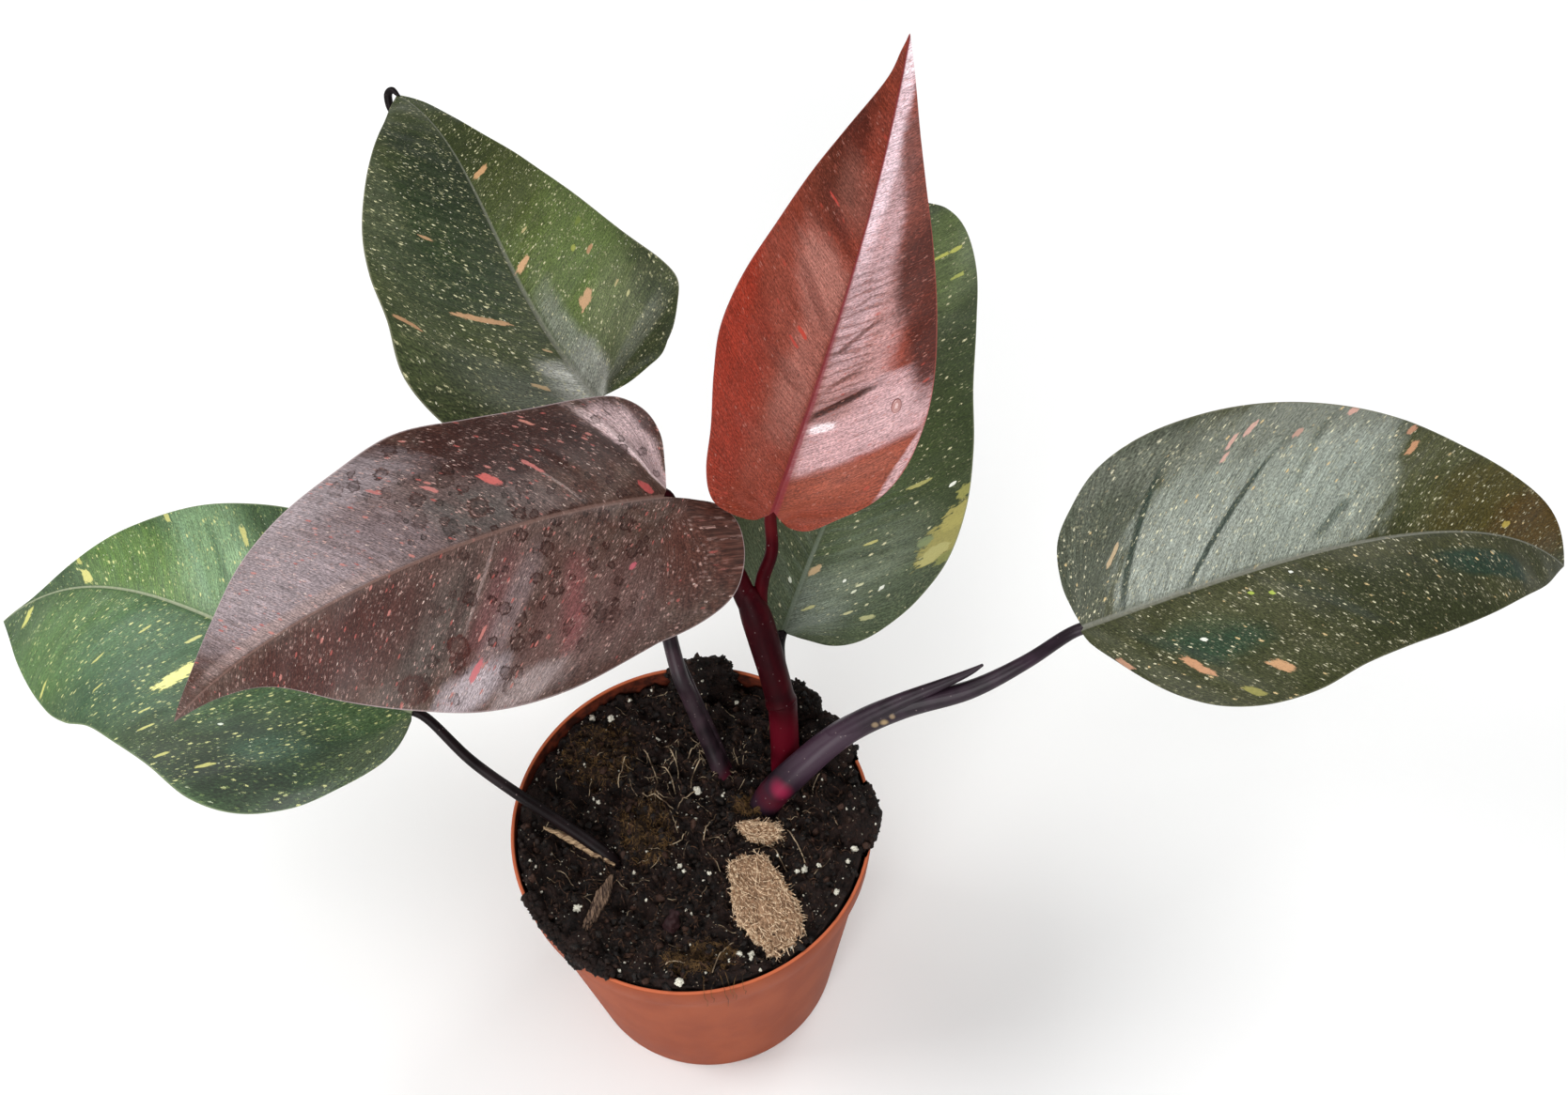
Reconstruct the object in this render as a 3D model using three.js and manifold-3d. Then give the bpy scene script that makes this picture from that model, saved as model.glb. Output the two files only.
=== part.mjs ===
// A young aroid house plant with six broad leaves, standing in the soil of a thin nursery pot.
// Millimetres, +Z up, +X to the right and +Y away from the front. The origin is the middle of the
// pot's foot, on the surface that it stands on.
import * as THREE from "three";
import { mergeVertices } from "three/addons/utils/BufferGeometryUtils.js";
import Module from "manifold-3d";

const wasm = await Module();
wasm.setup();

// Driving dimensions of the pot and the soil.
const POT_HEIGHT = 105;
const RIM_RADIUS = 59.2;
const FOOT_RADIUS = 45;
const WALL = 1.2;
const COLLAR_HEIGHT = 12;
const COLLAR_STEP = 1.5;
const COLLAR_FLARE = 0.7;
const LIP_BREAK = 0.4;
const FLOOR = 1.6;
const FOOT_BREAK = 1.5;
const POT_SIDES = 48;
const HOLE_COUNT = 8;
const HOLE_RADIUS = 4.5;
const HOLE_CIRCLE = 30;
const HOLE_SIDES = 12;
const SOIL_LEVEL = 101;
const SOIL_RISE = 4;
const SOIL_RISE_AZIMUTH = -0.7;
const SOIL_BANK = { height: 6, azimuth: 3.2, spread: 1.1, from: 38, to: 56 };
const CLEARANCE = 0.3;

// Driving dimensions of the leaves.
const BLADE_THICKNESS = 0.9;
const RIB_DEPTH = 2.2;
const RIB_HALF_WIDTH = 1.8;
const RIB_TAPER = 0.8;
const BEND_WIDTH = 45;
const VEIN_LEAN = 0.55;
const ROW_STEPS = 2;
const ACROSS = [0, 0.06, 0.34, 0.68, 1];
const RIPPLE_FADE = 20;
const STALK_SIDES = 10;
const NEARLY_UPRIGHT = 0.9;
const ARC_STEPS = 400;

const TAU = 2 * Math.PI;
const UP = new THREE.Vector3(0, 0, 1);
const AHEAD = new THREE.Vector3(1, 0, 0);
const vector = ([x, y, z]) => new THREE.Vector3(x, y, z);

// Catmull-Rom interpolation through rows of numbers, with a number of steps between rows.
function smoothRows(rows, steps) {
  const first = rows[0].map((value, k) => 2 * value - rows[1][k]);
  const last = rows.at(-1).map((value, k) => 2 * value - rows.at(-2)[k]);
  const padded = [first, ...rows, last];
  const smooth = [];
  for (let i = 1; i < padded.length - 2; i += 1) {
    for (let step = 0; step < steps; step += 1) {
      const t = step / steps;
      smooth.push(padded[i].map((b, k) => {
        const [a, c, d] = [padded[i - 1][k], padded[i + 1][k], padded[i + 2][k]];
        return 0.5 * (2 * b + (c - a) * t + (2 * a - 5 * b + 4 * c - d) * t ** 2
          + (3 * b - a - 3 * c + d) * t ** 3);
      }));
    }
  }
  smooth.push(rows.at(-1));
  return smooth;
}

// An indexed geometry from points and triangles, with coincident points welded and the
// triangles that shrink to a line left out.
function weld(points, triangles) {
  const raw = new THREE.BufferGeometry();
  const corners = points.flatMap((p) => [p.x, p.y, p.z]);
  raw.setAttribute("position", new THREE.Float32BufferAttribute(corners, 3));
  raw.setIndex(triangles);
  return clean(raw);
}

// The welding itself, also for the ready-made shapes, whose seams double their points.
function clean(geometry) {
  const bare = geometry.clone();
  bare.deleteAttribute("normal");
  bare.deleteAttribute("uv");
  const welded = mergeVertices(bare, 1e-3);
  const corners = Array.from(welded.index.array);
  const kept = [];
  for (let i = 0; i < corners.length; i += 3) {
    const [a, b, c] = corners.slice(i, i + 3);
    if (a !== b && b !== c && c !== a) kept.push(a, b, c);
  }
  welded.setIndex(kept);
  return welded;
}

function toSolid(geometry) {
  const welded = clean(geometry);
  return new wasm.Manifold(new wasm.Mesh({
    numProp: 3,
    vertProperties: new Float32Array(welded.attributes.position.array),
    triVerts: new Uint32Array(welded.index.array),
  }));
}

function toGeometry(solid) {
  const mesh = solid.getMesh();
  const geometry = new THREE.BufferGeometry();
  const corners = [];
  for (let i = 0; i < mesh.numVert; i += 1) {
    corners.push(...mesh.vertProperties.slice(i * mesh.numProp, i * mesh.numProp + 3));
  }
  geometry.setAttribute("position", new THREE.Float32BufferAttribute(corners, 3));
  geometry.setIndex(Array.from(mesh.triVerts));
  return geometry;
}

// A solid turned about Z from a closed profile of [radius, height] pairs.
function turned(profile, sides) {
  const lathe = new THREE.LatheGeometry(profile.map(([r, z]) => new THREE.Vector2(r, z)), sides);
  lathe.rotateX(Math.PI / 2);
  return lathe;
}

// The pot: a tapered wall with a collar that stands out by a step, and a flat floor with
// drainage holes in a ring.
const COLLAR_FOOT = POT_HEIGHT - COLLAR_HEIGHT;
const NECK_RADIUS = RIM_RADIUS - COLLAR_STEP - COLLAR_FLARE;
const wallRadius = (z) => FOOT_RADIUS + (NECK_RADIUS - FOOT_RADIUS) * (z / COLLAR_FOOT);
const MOUTH_RADIUS = NECK_RADIUS + COLLAR_STEP - WALL;
const innerRadius = (z) => (z < COLLAR_FOOT ? wallRadius(z) - WALL : MOUTH_RADIUS);

function buildPot() {
  const outside = [
    [0, 0],
    [FOOT_RADIUS - FOOT_BREAK, 0],
    [wallRadius(FOOT_BREAK), FOOT_BREAK],
    [NECK_RADIUS, COLLAR_FOOT],
    [NECK_RADIUS + COLLAR_STEP, COLLAR_FOOT + COLLAR_STEP],
    [RIM_RADIUS, POT_HEIGHT - LIP_BREAK],
    [RIM_RADIUS - LIP_BREAK, POT_HEIGHT],
  ];
  const inside = [
    [RIM_RADIUS - WALL, POT_HEIGHT],
    [MOUTH_RADIUS, COLLAR_FOOT + COLLAR_STEP],
    [NECK_RADIUS - WALL, COLLAR_FOOT - COLLAR_STEP],
    [innerRadius(FLOOR), FLOOR],
    [0, FLOOR],
  ];
  let pot = toSolid(turned([...outside, ...inside], POT_SIDES));
  for (let i = 0; i < HOLE_COUNT; i += 1) {
    const angle = (TAU * i) / HOLE_COUNT;
    const drill = new THREE.CylinderGeometry(HOLE_RADIUS, HOLE_RADIUS, 4 * FLOOR, HOLE_SIDES);
    drill.rotateX(Math.PI / 2);
    drill.translate(HOLE_CIRCLE * Math.cos(angle), HOLE_CIRCLE * Math.sin(angle), 0);
    pot = pot.subtract(toSolid(drill));
  }
  return toGeometry(pot);
}

// A stalk with a round section whose radius follows the path. Each path row is
// [x, y, z, radius]; the ends are closed with flat caps.
function buildStalk(path, steps = 2, sides = STALK_SIDES) {
  const rows = smoothRows(path, steps);
  const centres = rows.map((row) => vector(row));
  const points = [];
  const triangles = [];
  let across = null;
  rows.forEach((row, i) => {
    const [before, after] = [centres[Math.max(i - 1, 0)], centres[Math.min(i + 1, rows.length - 1)]];
    const along = after.clone().sub(before).normalize();
    if (!across) {
      across = new THREE.Vector3().crossVectors(along, Math.abs(along.z) < NEARLY_UPRIGHT ? UP : AHEAD);
    }
    across.addScaledVector(along, -across.dot(along)).normalize();
    const lift = new THREE.Vector3().crossVectors(along, across);
    for (let k = 0; k < sides; k += 1) {
      const angle = (TAU * k) / sides;
      points.push(centres[i].clone()
        .addScaledVector(across, row[3] * Math.cos(angle))
        .addScaledVector(lift, row[3] * Math.sin(angle)));
    }
  });
  for (let i = 0; i < rows.length - 1; i += 1) {
    for (let k = 0; k < sides; k += 1) {
      const next = (k + 1) % sides;
      const [a, b] = [i * sides + k, i * sides + next];
      triangles.push(a, b, b + sides, a, b + sides, a + sides);
    }
  }
  const end = (rows.length - 1) * sides;
  for (let k = 1; k < sides - 1; k += 1) {
    triangles.push(0, k + 1, k, end, end + k, end + k + 1);
  }
  return weld(points, triangles);
}

// A leaf blade. The midrib is a cubic curve; `face` is the way the upper side looks at the
// base and at the tip; `fold` is how steeply each half leaves the midrib and `bend` how far it
// curves down on its way to the margin, both in degrees at base and tip. A margin row holds how
// far along the midrib and how far out the right and then the left margin lie, one row for
// each main side vein, from the notch at the petiole to the tip.
class Blade {
  constructor({ midrib, face, fold, bend, wave, margin }) {
    this.curve = new THREE.CubicBezierCurve3(...midrib.map(vector));
    this.curve.arcLengthDivisions = ARC_STEPS;
    this.length = this.curve.getLength();
    this.face = face.map(vector);
    this.fold = fold;
    this.bend = bend;
    this.wave = wave;
    this.margin = margin;
  }

  // The axes of the blade at a distance along the midrib.
  frame(along) {
    const share = THREE.MathUtils.clamp(along / this.length, 0, 1);
    const tangent = this.curve.getTangentAt(share);
    const face = this.face[0].clone().lerp(this.face[1], share);
    const side = new THREE.Vector3().crossVectors(tangent, face).normalize();
    const normal = new THREE.Vector3().crossVectors(side, tangent);
    return { share, tangent, side, normal, centre: this.curve.getPointAt(share) };
  }

  // A point on the blade; `out` is positive on the right half and negative on the left half.
  point(along, out, ripple = 0) {
    const { share, tangent, side, normal, centre } = this.frame(along);
    const half = out < 0 ? "left" : "right";
    const mix = ([base, tip]) => THREE.MathUtils.degToRad(base + (tip - base) * share);
    const fold = mix(this.fold[half]);
    const turn = mix(this.bend[half]) / BEND_WIDTH;
    const reach = (Math.sin(fold + turn * Math.abs(out)) - Math.sin(fold)) / turn;
    const lift = (Math.cos(fold) - Math.cos(fold + turn * Math.abs(out))) / turn;
    const behind = along - THREE.MathUtils.clamp(along, 0, this.length);
    return centre.clone()
      .addScaledVector(tangent, behind)
      .addScaledVector(side, Math.sign(out) * reach)
      .addScaledVector(normal, lift + ripple);
  }

  // The solid, from points of the upper side and the drop from each of them to the underside.
  build() {
    const rows = smoothRows(this.margin, ROW_STEPS);
    const span = ACROSS.length;
    const points = [];
    const drops = [];
    const triangles = [];
    for (const [sign, alongColumn, outColumn] of [[1, 0, 1], [-1, 2, 3]]) {
      const start = points.length;
      rows.forEach((row, i) => {
        const root = Math.max(0, (row[0] + row[2] - VEIN_LEAN * (row[1] + row[3])) / 2);
        for (const share of ACROSS) {
          const along = root + (row[alongColumn] - root) * share;
          const out = sign * row[outColumn] * share;
          const ripple = this.wave[0] * share ** 2 * Math.min(1, row[outColumn] / RIPPLE_FADE)
            * Math.sin(TAU * this.wave[1] * (i / rows.length) + this.wave[2] * sign);
          points.push(this.point(along, out, ripple));
          const offRib = Math.hypot(Math.min(along, 0), out) / RIB_HALF_WIDTH;
          const taper = 1 - RIB_TAPER * (Math.max(along, 0) / this.length);
          const depth = BLADE_THICKNESS + RIB_DEPTH * taper * Math.exp(-(offRib ** 2));
          drops.push(this.frame(along).normal.multiplyScalar(-depth));
        }
      });
      for (let i = 0; i < rows.length - 1; i += 1) {
        for (let k = 0; k < span - 1; k += 1) {
          const a = start + i * span + k;
          const [b, c, d] = [a + 1, a + span, a + span + 1];
          triangles.push(...(sign > 0 ? [a, b, d, a, d, c] : [a, d, b, a, c, d]));
        }
      }
    }
    return thicken(points, drops, triangles);
  }
}

// Turns an open sheet into a solid: the sheet is the upper face, a copy of it moved by the drop
// at each point is the lower face, and walls join them along every open edge.
function thicken(points, drops, triangles) {
  const upper = [];
  const lower = [];
  const places = new Map();
  const merged = points.map((p, i) => {
    const key = [p.x, p.y, p.z].map((value) => Math.round(value * 100)).join();
    if (!places.has(key)) {
      places.set(key, upper.length);
      upper.push(p);
      lower.push(p.clone().add(drops[i]));
    }
    return places.get(key);
  });
  const faces = [];
  for (let i = 0; i < triangles.length; i += 3) {
    const [a, b, c] = triangles.slice(i, i + 3).map((corner) => merged[corner]);
    if (a !== b && b !== c && c !== a) faces.push([a, b, c]);
  }
  const openEdges = new Map();
  for (const [a, b, c] of faces) {
    for (const [from, to] of [[a, b], [b, c], [c, a]]) {
      if (!openEdges.delete(`${to},${from}`)) openEdges.set(`${from},${to}`, [from, to]);
    }
  }
  const count = upper.length;
  const all = faces.flatMap(([a, b, c]) => [a, b, c, a + count, c + count, b + count]);
  for (const [from, to] of openEdges.values()) {
    all.push(to, from, from + count, to, from + count, to + count);
  }
  return weld([...upper, ...lower], all);
}

// The six blades, named by where they stand.
const blades = {
  blade_right: {
    midrib: [[129, 12, 165], [180, 9, 189], [253, 23, 192], [292, 15, 147]],
    face: [[0, -0.34, 0.94], [0, -0.30, 0.95]],
    fold: { right: [14, 8], left: [20, 16] },
    bend: { right: [-34, -34], left: [-24, -24] },
    wave: [1.5, 2.5, 0.6],
    margin: [
      [-1, 1, -0.25, 1], [1, 6, -1, 7], [6, 13, -1, 15], [13, 22, 2, 27], [21, 30, 9, 36],
      [32, 37, 20, 45], [46, 41, 35, 50], [62, 41, 53, 51], [79, 37, 72, 49], [97, 34, 92, 44],
      [115, 31, 111, 37], [133, 26, 129, 28], [149, 19, 146, 20], [164, 11, 162, 12], [176, 0, 176, 0],
    ],
  },
  blade_purple: {
    midrib: [[8, 58, 205], [-45, 46, 228], [-110, 25, 223], [-148, 28, 173]],
    face: [[0, -0.62, 0.78], [0, -0.55, 0.83]],
    fold: { right: [-12, -4], left: [12, 12] },
    bend: { right: [-34, -24], left: [-45, -20] },
    wave: [1.2, 2, 0.4],
    margin: [
      [-1, 2, -8, 1.2], [-2, 10, -18, 4], [-3, 20, -24, 11], [-1, 28.7, -25, 24], [5.5, 35, -21, 35],
      [16, 36, -7, 44.5], [32, 36, 14, 50.6], [50, 38, 38, 54], [70, 41, 60, 52.8], [90, 36, 80, 47.8],
      [108, 31, 99, 38], [125, 24, 115, 27], [142, 14, 133, 12], [158, 6, 151, 5], [175, 0, 175, 0],
    ],
  },
  blade_red: {
    midrib: [[40.7, 57, 189], [61.7, 79, 229], [82.7, 100, 270], [97, 129, 308]],
    face: [[0.1, -0.8, 0.6], [0.1, -0.8, 0.6]],
    fold: { right: [20, 20], left: [20, 20] },
    bend: { right: [-10, -10], left: [-10, -10] },
    wave: [0.8, 3, 0.9],
    margin: [
      [-1.4, 2, -1.3, 2], [-3, 6, -3, 7], [-2, 12, -1, 16], [4, 19, 3, 23.4], [14, 28, 12, 28],
      [27, 33, 26, 31], [44, 34, 43, 35.6], [59, 32, 58, 38], [76, 27, 74, 35.6], [93, 20.4, 91, 29.3],
      [108, 14, 107, 22.6], [122, 8.7, 121, 14.8], [136, 4.2, 136, 5], [144, 1.6, 144, 2], [149, 0, 149, 0],
    ],
  },
  blade_back_right: {
    midrib: [[40, 45, 140], [65, 86, 159], [97, 109, 200], [113, 167, 200]],
    face: [[0.1, -0.3, 0.95], [0, -0.3, 0.95]],
    fold: { right: [10, 8], left: [10, 8] },
    bend: { right: [-20, -20], left: [-20, -20] },
    wave: [1.6, 2.5, 0.3],
    margin: [
      [-1, 2, -1, 2], [-1, 8, 0, 6], [0, 17, 2, 11], [5, 25, 6, 18], [14, 32, 13, 25],
      [26, 38, 25, 33], [42, 42, 42, 40], [60, 41, 60, 41], [78, 36, 78, 36], [96, 29, 96, 29],
      [115, 24, 115, 23], [132, 20, 132, 17], [146, 14, 146, 10], [154, 7, 154, 4], [157, 0, 157, 0],
    ],
  },
  blade_back_left: {
    midrib: [[-8, 117, 185], [-36, 153, 210], [-33, 215, 215], [-63, 265, 196]],
    face: [[0.15, 0, 1], [0.3, 0, 0.95]],
    fold: { right: [8, 6], left: [8, 6] },
    bend: { right: [-20, -20], left: [-20, -20] },
    wave: [1.5, 3, 0.2],
    margin: [
      [-1, 2, -1, 2], [-3, 12, -3, 10], [-3, 22, -3, 20], [-2, 32, -2, 30], [3.5, 41.3, 5, 39.5],
      [15, 48.6, 15, 46.6], [28, 53.5, 31, 50.2], [43, 51.6, 48, 46.2], [60, 44.4, 65, 44.8],
      [79, 34.8, 82, 41.5],
      [98, 22.8, 100, 35], [116, 13.6, 117, 27], [134, 8.2, 135, 17], [150, 4.6, 150, 8.6], [162, 0, 162, 0],
    ],
  },
  blade_low_left: {
    midrib: [[-83, 41, 135], [-130, 63, 152], [-176, 124, 150], [-226, 119, 113]],
    face: [[-0.05, -0.30, 0.95], [-0.30, -0.10, 0.95]],
    fold: { right: [12, 0], left: [12, 4] },
    bend: { right: [-20, -30], left: [-20, -20] },
    wave: [1.8, 2.5, 0.5],
    margin: [
      [-1, 2, -1, 3], [-3, 9, -1, 8], [-3, 18, 0, 14], [0, 27, 3, 21], [8, 35, 10, 31],
      [19, 41, 20, 43], [33, 45, 34, 52.2], [50, 47, 50, 55], [68, 46, 69, 51.6], [86, 42.4, 89, 49.4],
      [104, 35.8, 108, 47.2], [122, 23.4, 128, 47], [140, 9.4, 146, 42], [156, 1.6, 161, 28.6],
      [174, 0, 174, 0],
    ],
  },
};

// The petiole ends under the notch of its blade, after a last stretch in line with the midrib:
// these are the last two rows of its path.
function seat(name, radius, stretch) {
  const { tangent, normal, centre } = new Blade(blades[name]).frame(0);
  const drop = BLADE_THICKNESS + RIB_DEPTH + radius + CLEARANCE;
  return [-stretch, 0.5].map((along) => {
    const end = centre.clone().addScaledVector(normal, -drop).addScaledVector(tangent, along);
    return [end.x, end.y, end.z, radius];
  });
}

// Paths of the stalks, from their root ends in the soil: x, y, z, radius.
const stalks = {
  trunk: [
    [32, 10, 74, 4.2], [33.5, 13.5, 101, 4.7], [34.5, 17.5, 115, 4.7], [35.3, 19.9, 126, 4.8],
    [35.3, 20.6, 128, 5.2], [35.2, 21.6, 130, 4.8], [33.6, 28.2, 143, 4.8], [32, 34.7, 153, 5],
    [31, 38.7, 161, 5.1], [30, 41.5, 167, 4.4],
  ],
  purple_arm: [
    [32, 34.5, 153, 2.5], [28.4, 42, 166, 3.5], [25.5, 48, 175, 3.3], [20, 52, 183, 2.9], [12, 55, 191, 2.4],
    ...seat("blade_purple", 2.2, 1),
  ],
  red: [
    [33, 35, 153, 1.9], [32.8, 41.5, 163, 2.1], [34.4, 45.5, 171, 2.2], [38.4, 50, 179, 2],
    ...seat("blade_red", 1.9, 2),
  ],
  right: [
    [20, 1.5, 78, 4.6], [25.2, 3.6, 101, 5.2], [36.6, 6, 116, 5.1], [53.6, 10, 129, 4.5],
    [71.7, 9.2, 139.6, 3.7], [92.5, 7, 147.3, 3], [110, 8.3, 155.9, 2.3], ...seat("blade_right", 2, 5),
  ],
  right_sheath: [
    [53.6, 10, 131.5, 3.6], [72, 9.2, 143, 3], [88, 9, 150.5, 1.8], [96, 10, 155.5, 0.4],
  ],
  back_left: [
    [16, 12, 80, 2.6], [12.7, 18.1, 101, 3], [10, 24.5, 112, 2.9], [6.2, 32.4, 128, 2.8],
    [3.4, 40, 141, 2.6], [0, 78, 165, 2.3], [-6, 104, 177, 2.1], ...seat("blade_back_left", 2, 5),
  ],
  back_left_sheath: [
    [15.8, 18.6, 99, 1.2], [12.4, 25.2, 112, 1.2], [8.4, 32.4, 127.5, 1.2], [5, 42, 142, 0.5],
  ],
  low_left: [
    [-22, -11, 90, 2], [-29.7, -4, 101.5, 2.2], [-41.1, 6, 106.8, 2], [-54, 17.3, 110.6, 1.9],
    [-67.7, 28.6, 119.2, 1.8], ...seat("blade_low_left", 1.6, 5),
  ],
  back_right: [
    [34, 24, 82, 2.2], [35.8, 27.5, 101, 2.4], [36.8, 34, 115, 2.2], [37.2, 38, 126, 2],
    ...seat("blade_back_right", 1.9, 4),
  ],
  curled_tip: [
    [-61.5, 262, 196, 0.9], [-64.5, 266.5, 197, 1.2], [-67, 267, 194.5, 1.3], [-67, 264, 190.5, 1.1],
    [-65.5, 261, 187.5, 0.6],
  ],
  stub: [
    [-13.5, -37, 88, 2.6], [-12, -34.4, 101, 2.7], [-10, -31.5, 107, 2.1],
  ],
};

const stalkSolid = (name) => toSolid(buildStalk(stalks[name]));

// The plain hole that a stalk stands in: the stalk grown all round, and past its root end.
function holeFor(path, steps, sides) {
  const root = vector(path[0]);
  const deeper = root.clone().add(root.clone().sub(vector(path[1])).setLength(2 * CLEARANCE));
  const rows = [[deeper.x, deeper.y, deeper.z, path[0][3]], ...path.slice(1)];
  return toSolid(buildStalk(rows.map(([x, y, z, r]) => [x, y, z, r + CLEARANCE]), steps, sides));
}

// A flat-based chunk from its outline in plan, with a rounded upper edge.
function chunk(outline, low, high, rounding) {
  const shape = new THREE.Shape(outline.map(([x, y]) => new THREE.Vector2(x, y)));
  const block = new THREE.ExtrudeGeometry(shape, {
    depth: high - low - 2 * rounding,
    bevelEnabled: true,
    bevelThickness: rounding,
    bevelSize: rounding,
    bevelOffset: -rounding,
    bevelSegments: 2,
  });
  block.translate(0, 0, low + rounding);
  return block;
}

// The same chunk grown by the clearance, which cuts its seat into the soil.
function seatOf(outline, low, high) {
  const centre = outline.reduce((sum, [x, y]) => sum.add(new THREE.Vector2(x, y)), new THREE.Vector2());
  centre.divideScalar(outline.length);
  const wider = outline.map(([x, y]) => {
    const away = new THREE.Vector2(x, y).sub(centre);
    away.setLength(away.length() + 2 * CLEARANCE).add(centre);
    return new THREE.Vector2(away.x, away.y);
  });
  const depth = high - low + CUT_REACH;
  const block = new THREE.ExtrudeGeometry(new THREE.Shape(wider), { depth, bevelEnabled: false });
  block.translate(0, 0, low - CLEARANCE);
  return toSolid(block);
}

// Loose pieces on the soil: outline in plan, underside and top.
const litter = {
  coir_plug: {
    outline: [[10, -17], [21, -16], [29, -36], [29, -47], [18, -51], [9, -37]],
    low: 98,
    high: 107,
    rounding: 1.4,
  },
  coir_crumb: {
    outline: [[14.5, -4], [19, -3.5], [27, -6.5], [29, -11], [22, -12], [17, -8.5]],
    low: 100,
    high: 106,
    rounding: 1,
  },
  bark_sliver: {
    outline: [[-27.5, -12], [-29, -19], [-36, -29], [-39.5, -31], [-39.5, -28], [-33, -17]],
    low: 100.5,
    high: 104,
    rounding: 0.5,
  },
};

// The dry sheath: a thin tan strip that lies along the front of the low left petiole.
const drySheath = [
  [-29, -9, 100.2, 0.9], [-35, -4.8, 101.4, 1.6], [-41, 0.2, 102.6, 1.6], [-46, 3, 104, 0.9],
];

// The soil fills the pot to a lumpy surface that rises towards the right, is banked up to the lip
// at the left, and has clumps that lie on the rim. Stalks stand in plain holes, and the larger
// pieces lie in shallow seats.
// A clod is [x, y, spread, height].
const SOIL_CLODS = [[-13, 2, 9, 2.5], [-27, 31, 10, 2.5], [-8, -44, 9, 1.5], [47, 12, 12, 2.5]];
const soilHeight = (radius, angle) => {
  const x = radius * Math.cos(angle);
  const y = radius * Math.sin(angle);
  const rise = SOIL_RISE * (radius / RIM_RADIUS) * Math.cos(angle - SOIL_RISE_AZIMUTH);
  const fromBank = (angle - SOIL_BANK.azimuth) / SOIL_BANK.spread;
  const bank = SOIL_BANK.height * Math.exp(-(fromBank ** 2))
    * THREE.MathUtils.smoothstep(radius, SOIL_BANK.from, SOIL_BANK.to);
  const lumps = 0.9 * Math.sin(0.31 * x + 1.7) * Math.sin(0.27 * y + 0.4)
    + 0.8 * Math.sin(0.62 * x - 0.35 * y) + 0.6 * Math.sin(0.71 * y + 0.44 * x + 2);
  const clods = SOIL_CLODS.map(([clodX, clodY, spread, high]) => (
    high * Math.exp(-((x - clodX) ** 2 + (y - clodY) ** 2) / spread ** 2)
  ));
  return SOIL_LEVEL + rise + bank + lumps + clods.reduce((sum, high) => sum + high, 0);
};

const SOIL_RINGS = [8, 16, 25, 34, 42, 49, 54];
const SOIL_SIDES = 40;
const CUT_REACH = 20;
const clumps = [
  { azimuth: 222, out: 55, height: 102, size: [8, 10, 7] },
  { azimuth: -10, out: 55, height: 105, size: [7, 14, 6] },
  { azimuth: 22, out: 54, height: 106, size: [8, 12, 7] },
  { azimuth: 41, out: 55, height: 108, size: [7, 10, 7] },
  { azimuth: 77, out: 55, height: 106, size: [7, 13, 7] },
];

function buildSoil() {
  const points = [];
  const triangles = [];
  const addRing = (radius, height) => {
    for (let k = 0; k < SOIL_SIDES; k += 1) {
      const angle = (TAU * k) / SOIL_SIDES;
      points.push(vector([radius * Math.cos(angle), radius * Math.sin(angle), height(angle)]));
    }
  };
  const wall = (z) => innerRadius(z) - CLEARANCE;
  points.push(vector([0, 0, soilHeight(0, 0)]));
  for (const radius of SOIL_RINGS) addRing(radius, (angle) => soilHeight(radius, angle));
  addRing(wall(COLLAR_FOOT), (angle) => Math.min(soilHeight(wall(COLLAR_FOOT), angle), POT_HEIGHT));
  addRing(wall(COLLAR_FOOT - COLLAR_STEP), () => COLLAR_FOOT - COLLAR_STEP);
  addRing(wall(FLOOR), () => FLOOR + CLEARANCE);
  points.push(vector([0, 0, FLOOR + CLEARANCE]));
  const ringCount = SOIL_RINGS.length + 3;
  const bottom = points.length - 1;
  for (let k = 0; k < SOIL_SIDES; k += 1) {
    const next = (k + 1) % SOIL_SIDES;
    triangles.push(0, 1 + k, 1 + next);
    for (let ring = 0; ring < ringCount - 1; ring += 1) {
      const [a, b] = [1 + ring * SOIL_SIDES + k, 1 + ring * SOIL_SIDES + next];
      triangles.push(a, a + SOIL_SIDES, b + SOIL_SIDES, a, b + SOIL_SIDES, b);
    }
    const rim = 1 + (ringCount - 1) * SOIL_SIDES;
    triangles.push(bottom, rim + next, rim + k);
  }
  let soil = toSolid(weld(points, triangles));

  const mouth = MOUTH_RADIUS - 2 * CLEARANCE;
  const rimKeepOut = toSolid(turned([
    [mouth, COLLAR_FOOT - CUT_REACH],
    [RIM_RADIUS + CUT_REACH, COLLAR_FOOT - CUT_REACH],
    [RIM_RADIUS + CUT_REACH, POT_HEIGHT + CLEARANCE],
    [mouth, POT_HEIGHT + CLEARANCE],
    [mouth, COLLAR_FOOT - CUT_REACH],
  ], POT_SIDES));
  for (const { azimuth, out, height, size } of clumps) {
    const clump = new THREE.IcosahedronGeometry(1, 1);
    clump.scale(...size);
    clump.translate(out, 0, height);
    clump.rotateZ(THREE.MathUtils.degToRad(azimuth));
    soil = soil.add(toSolid(clump).subtract(rimKeepOut));
  }
  for (const name of ["trunk", "right", "back_left", "back_left_sheath", "low_left", "back_right", "stub"]) {
    soil = soil.subtract(holeFor(stalks[name]));
  }
  for (const { outline, low, high } of Object.values(litter)) {
    soil = soil.subtract(seatOf(outline, low, high));
  }
  soil = soil.subtract(holeFor(drySheath, 2, 6));
  return toGeometry(soil);
}

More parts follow.
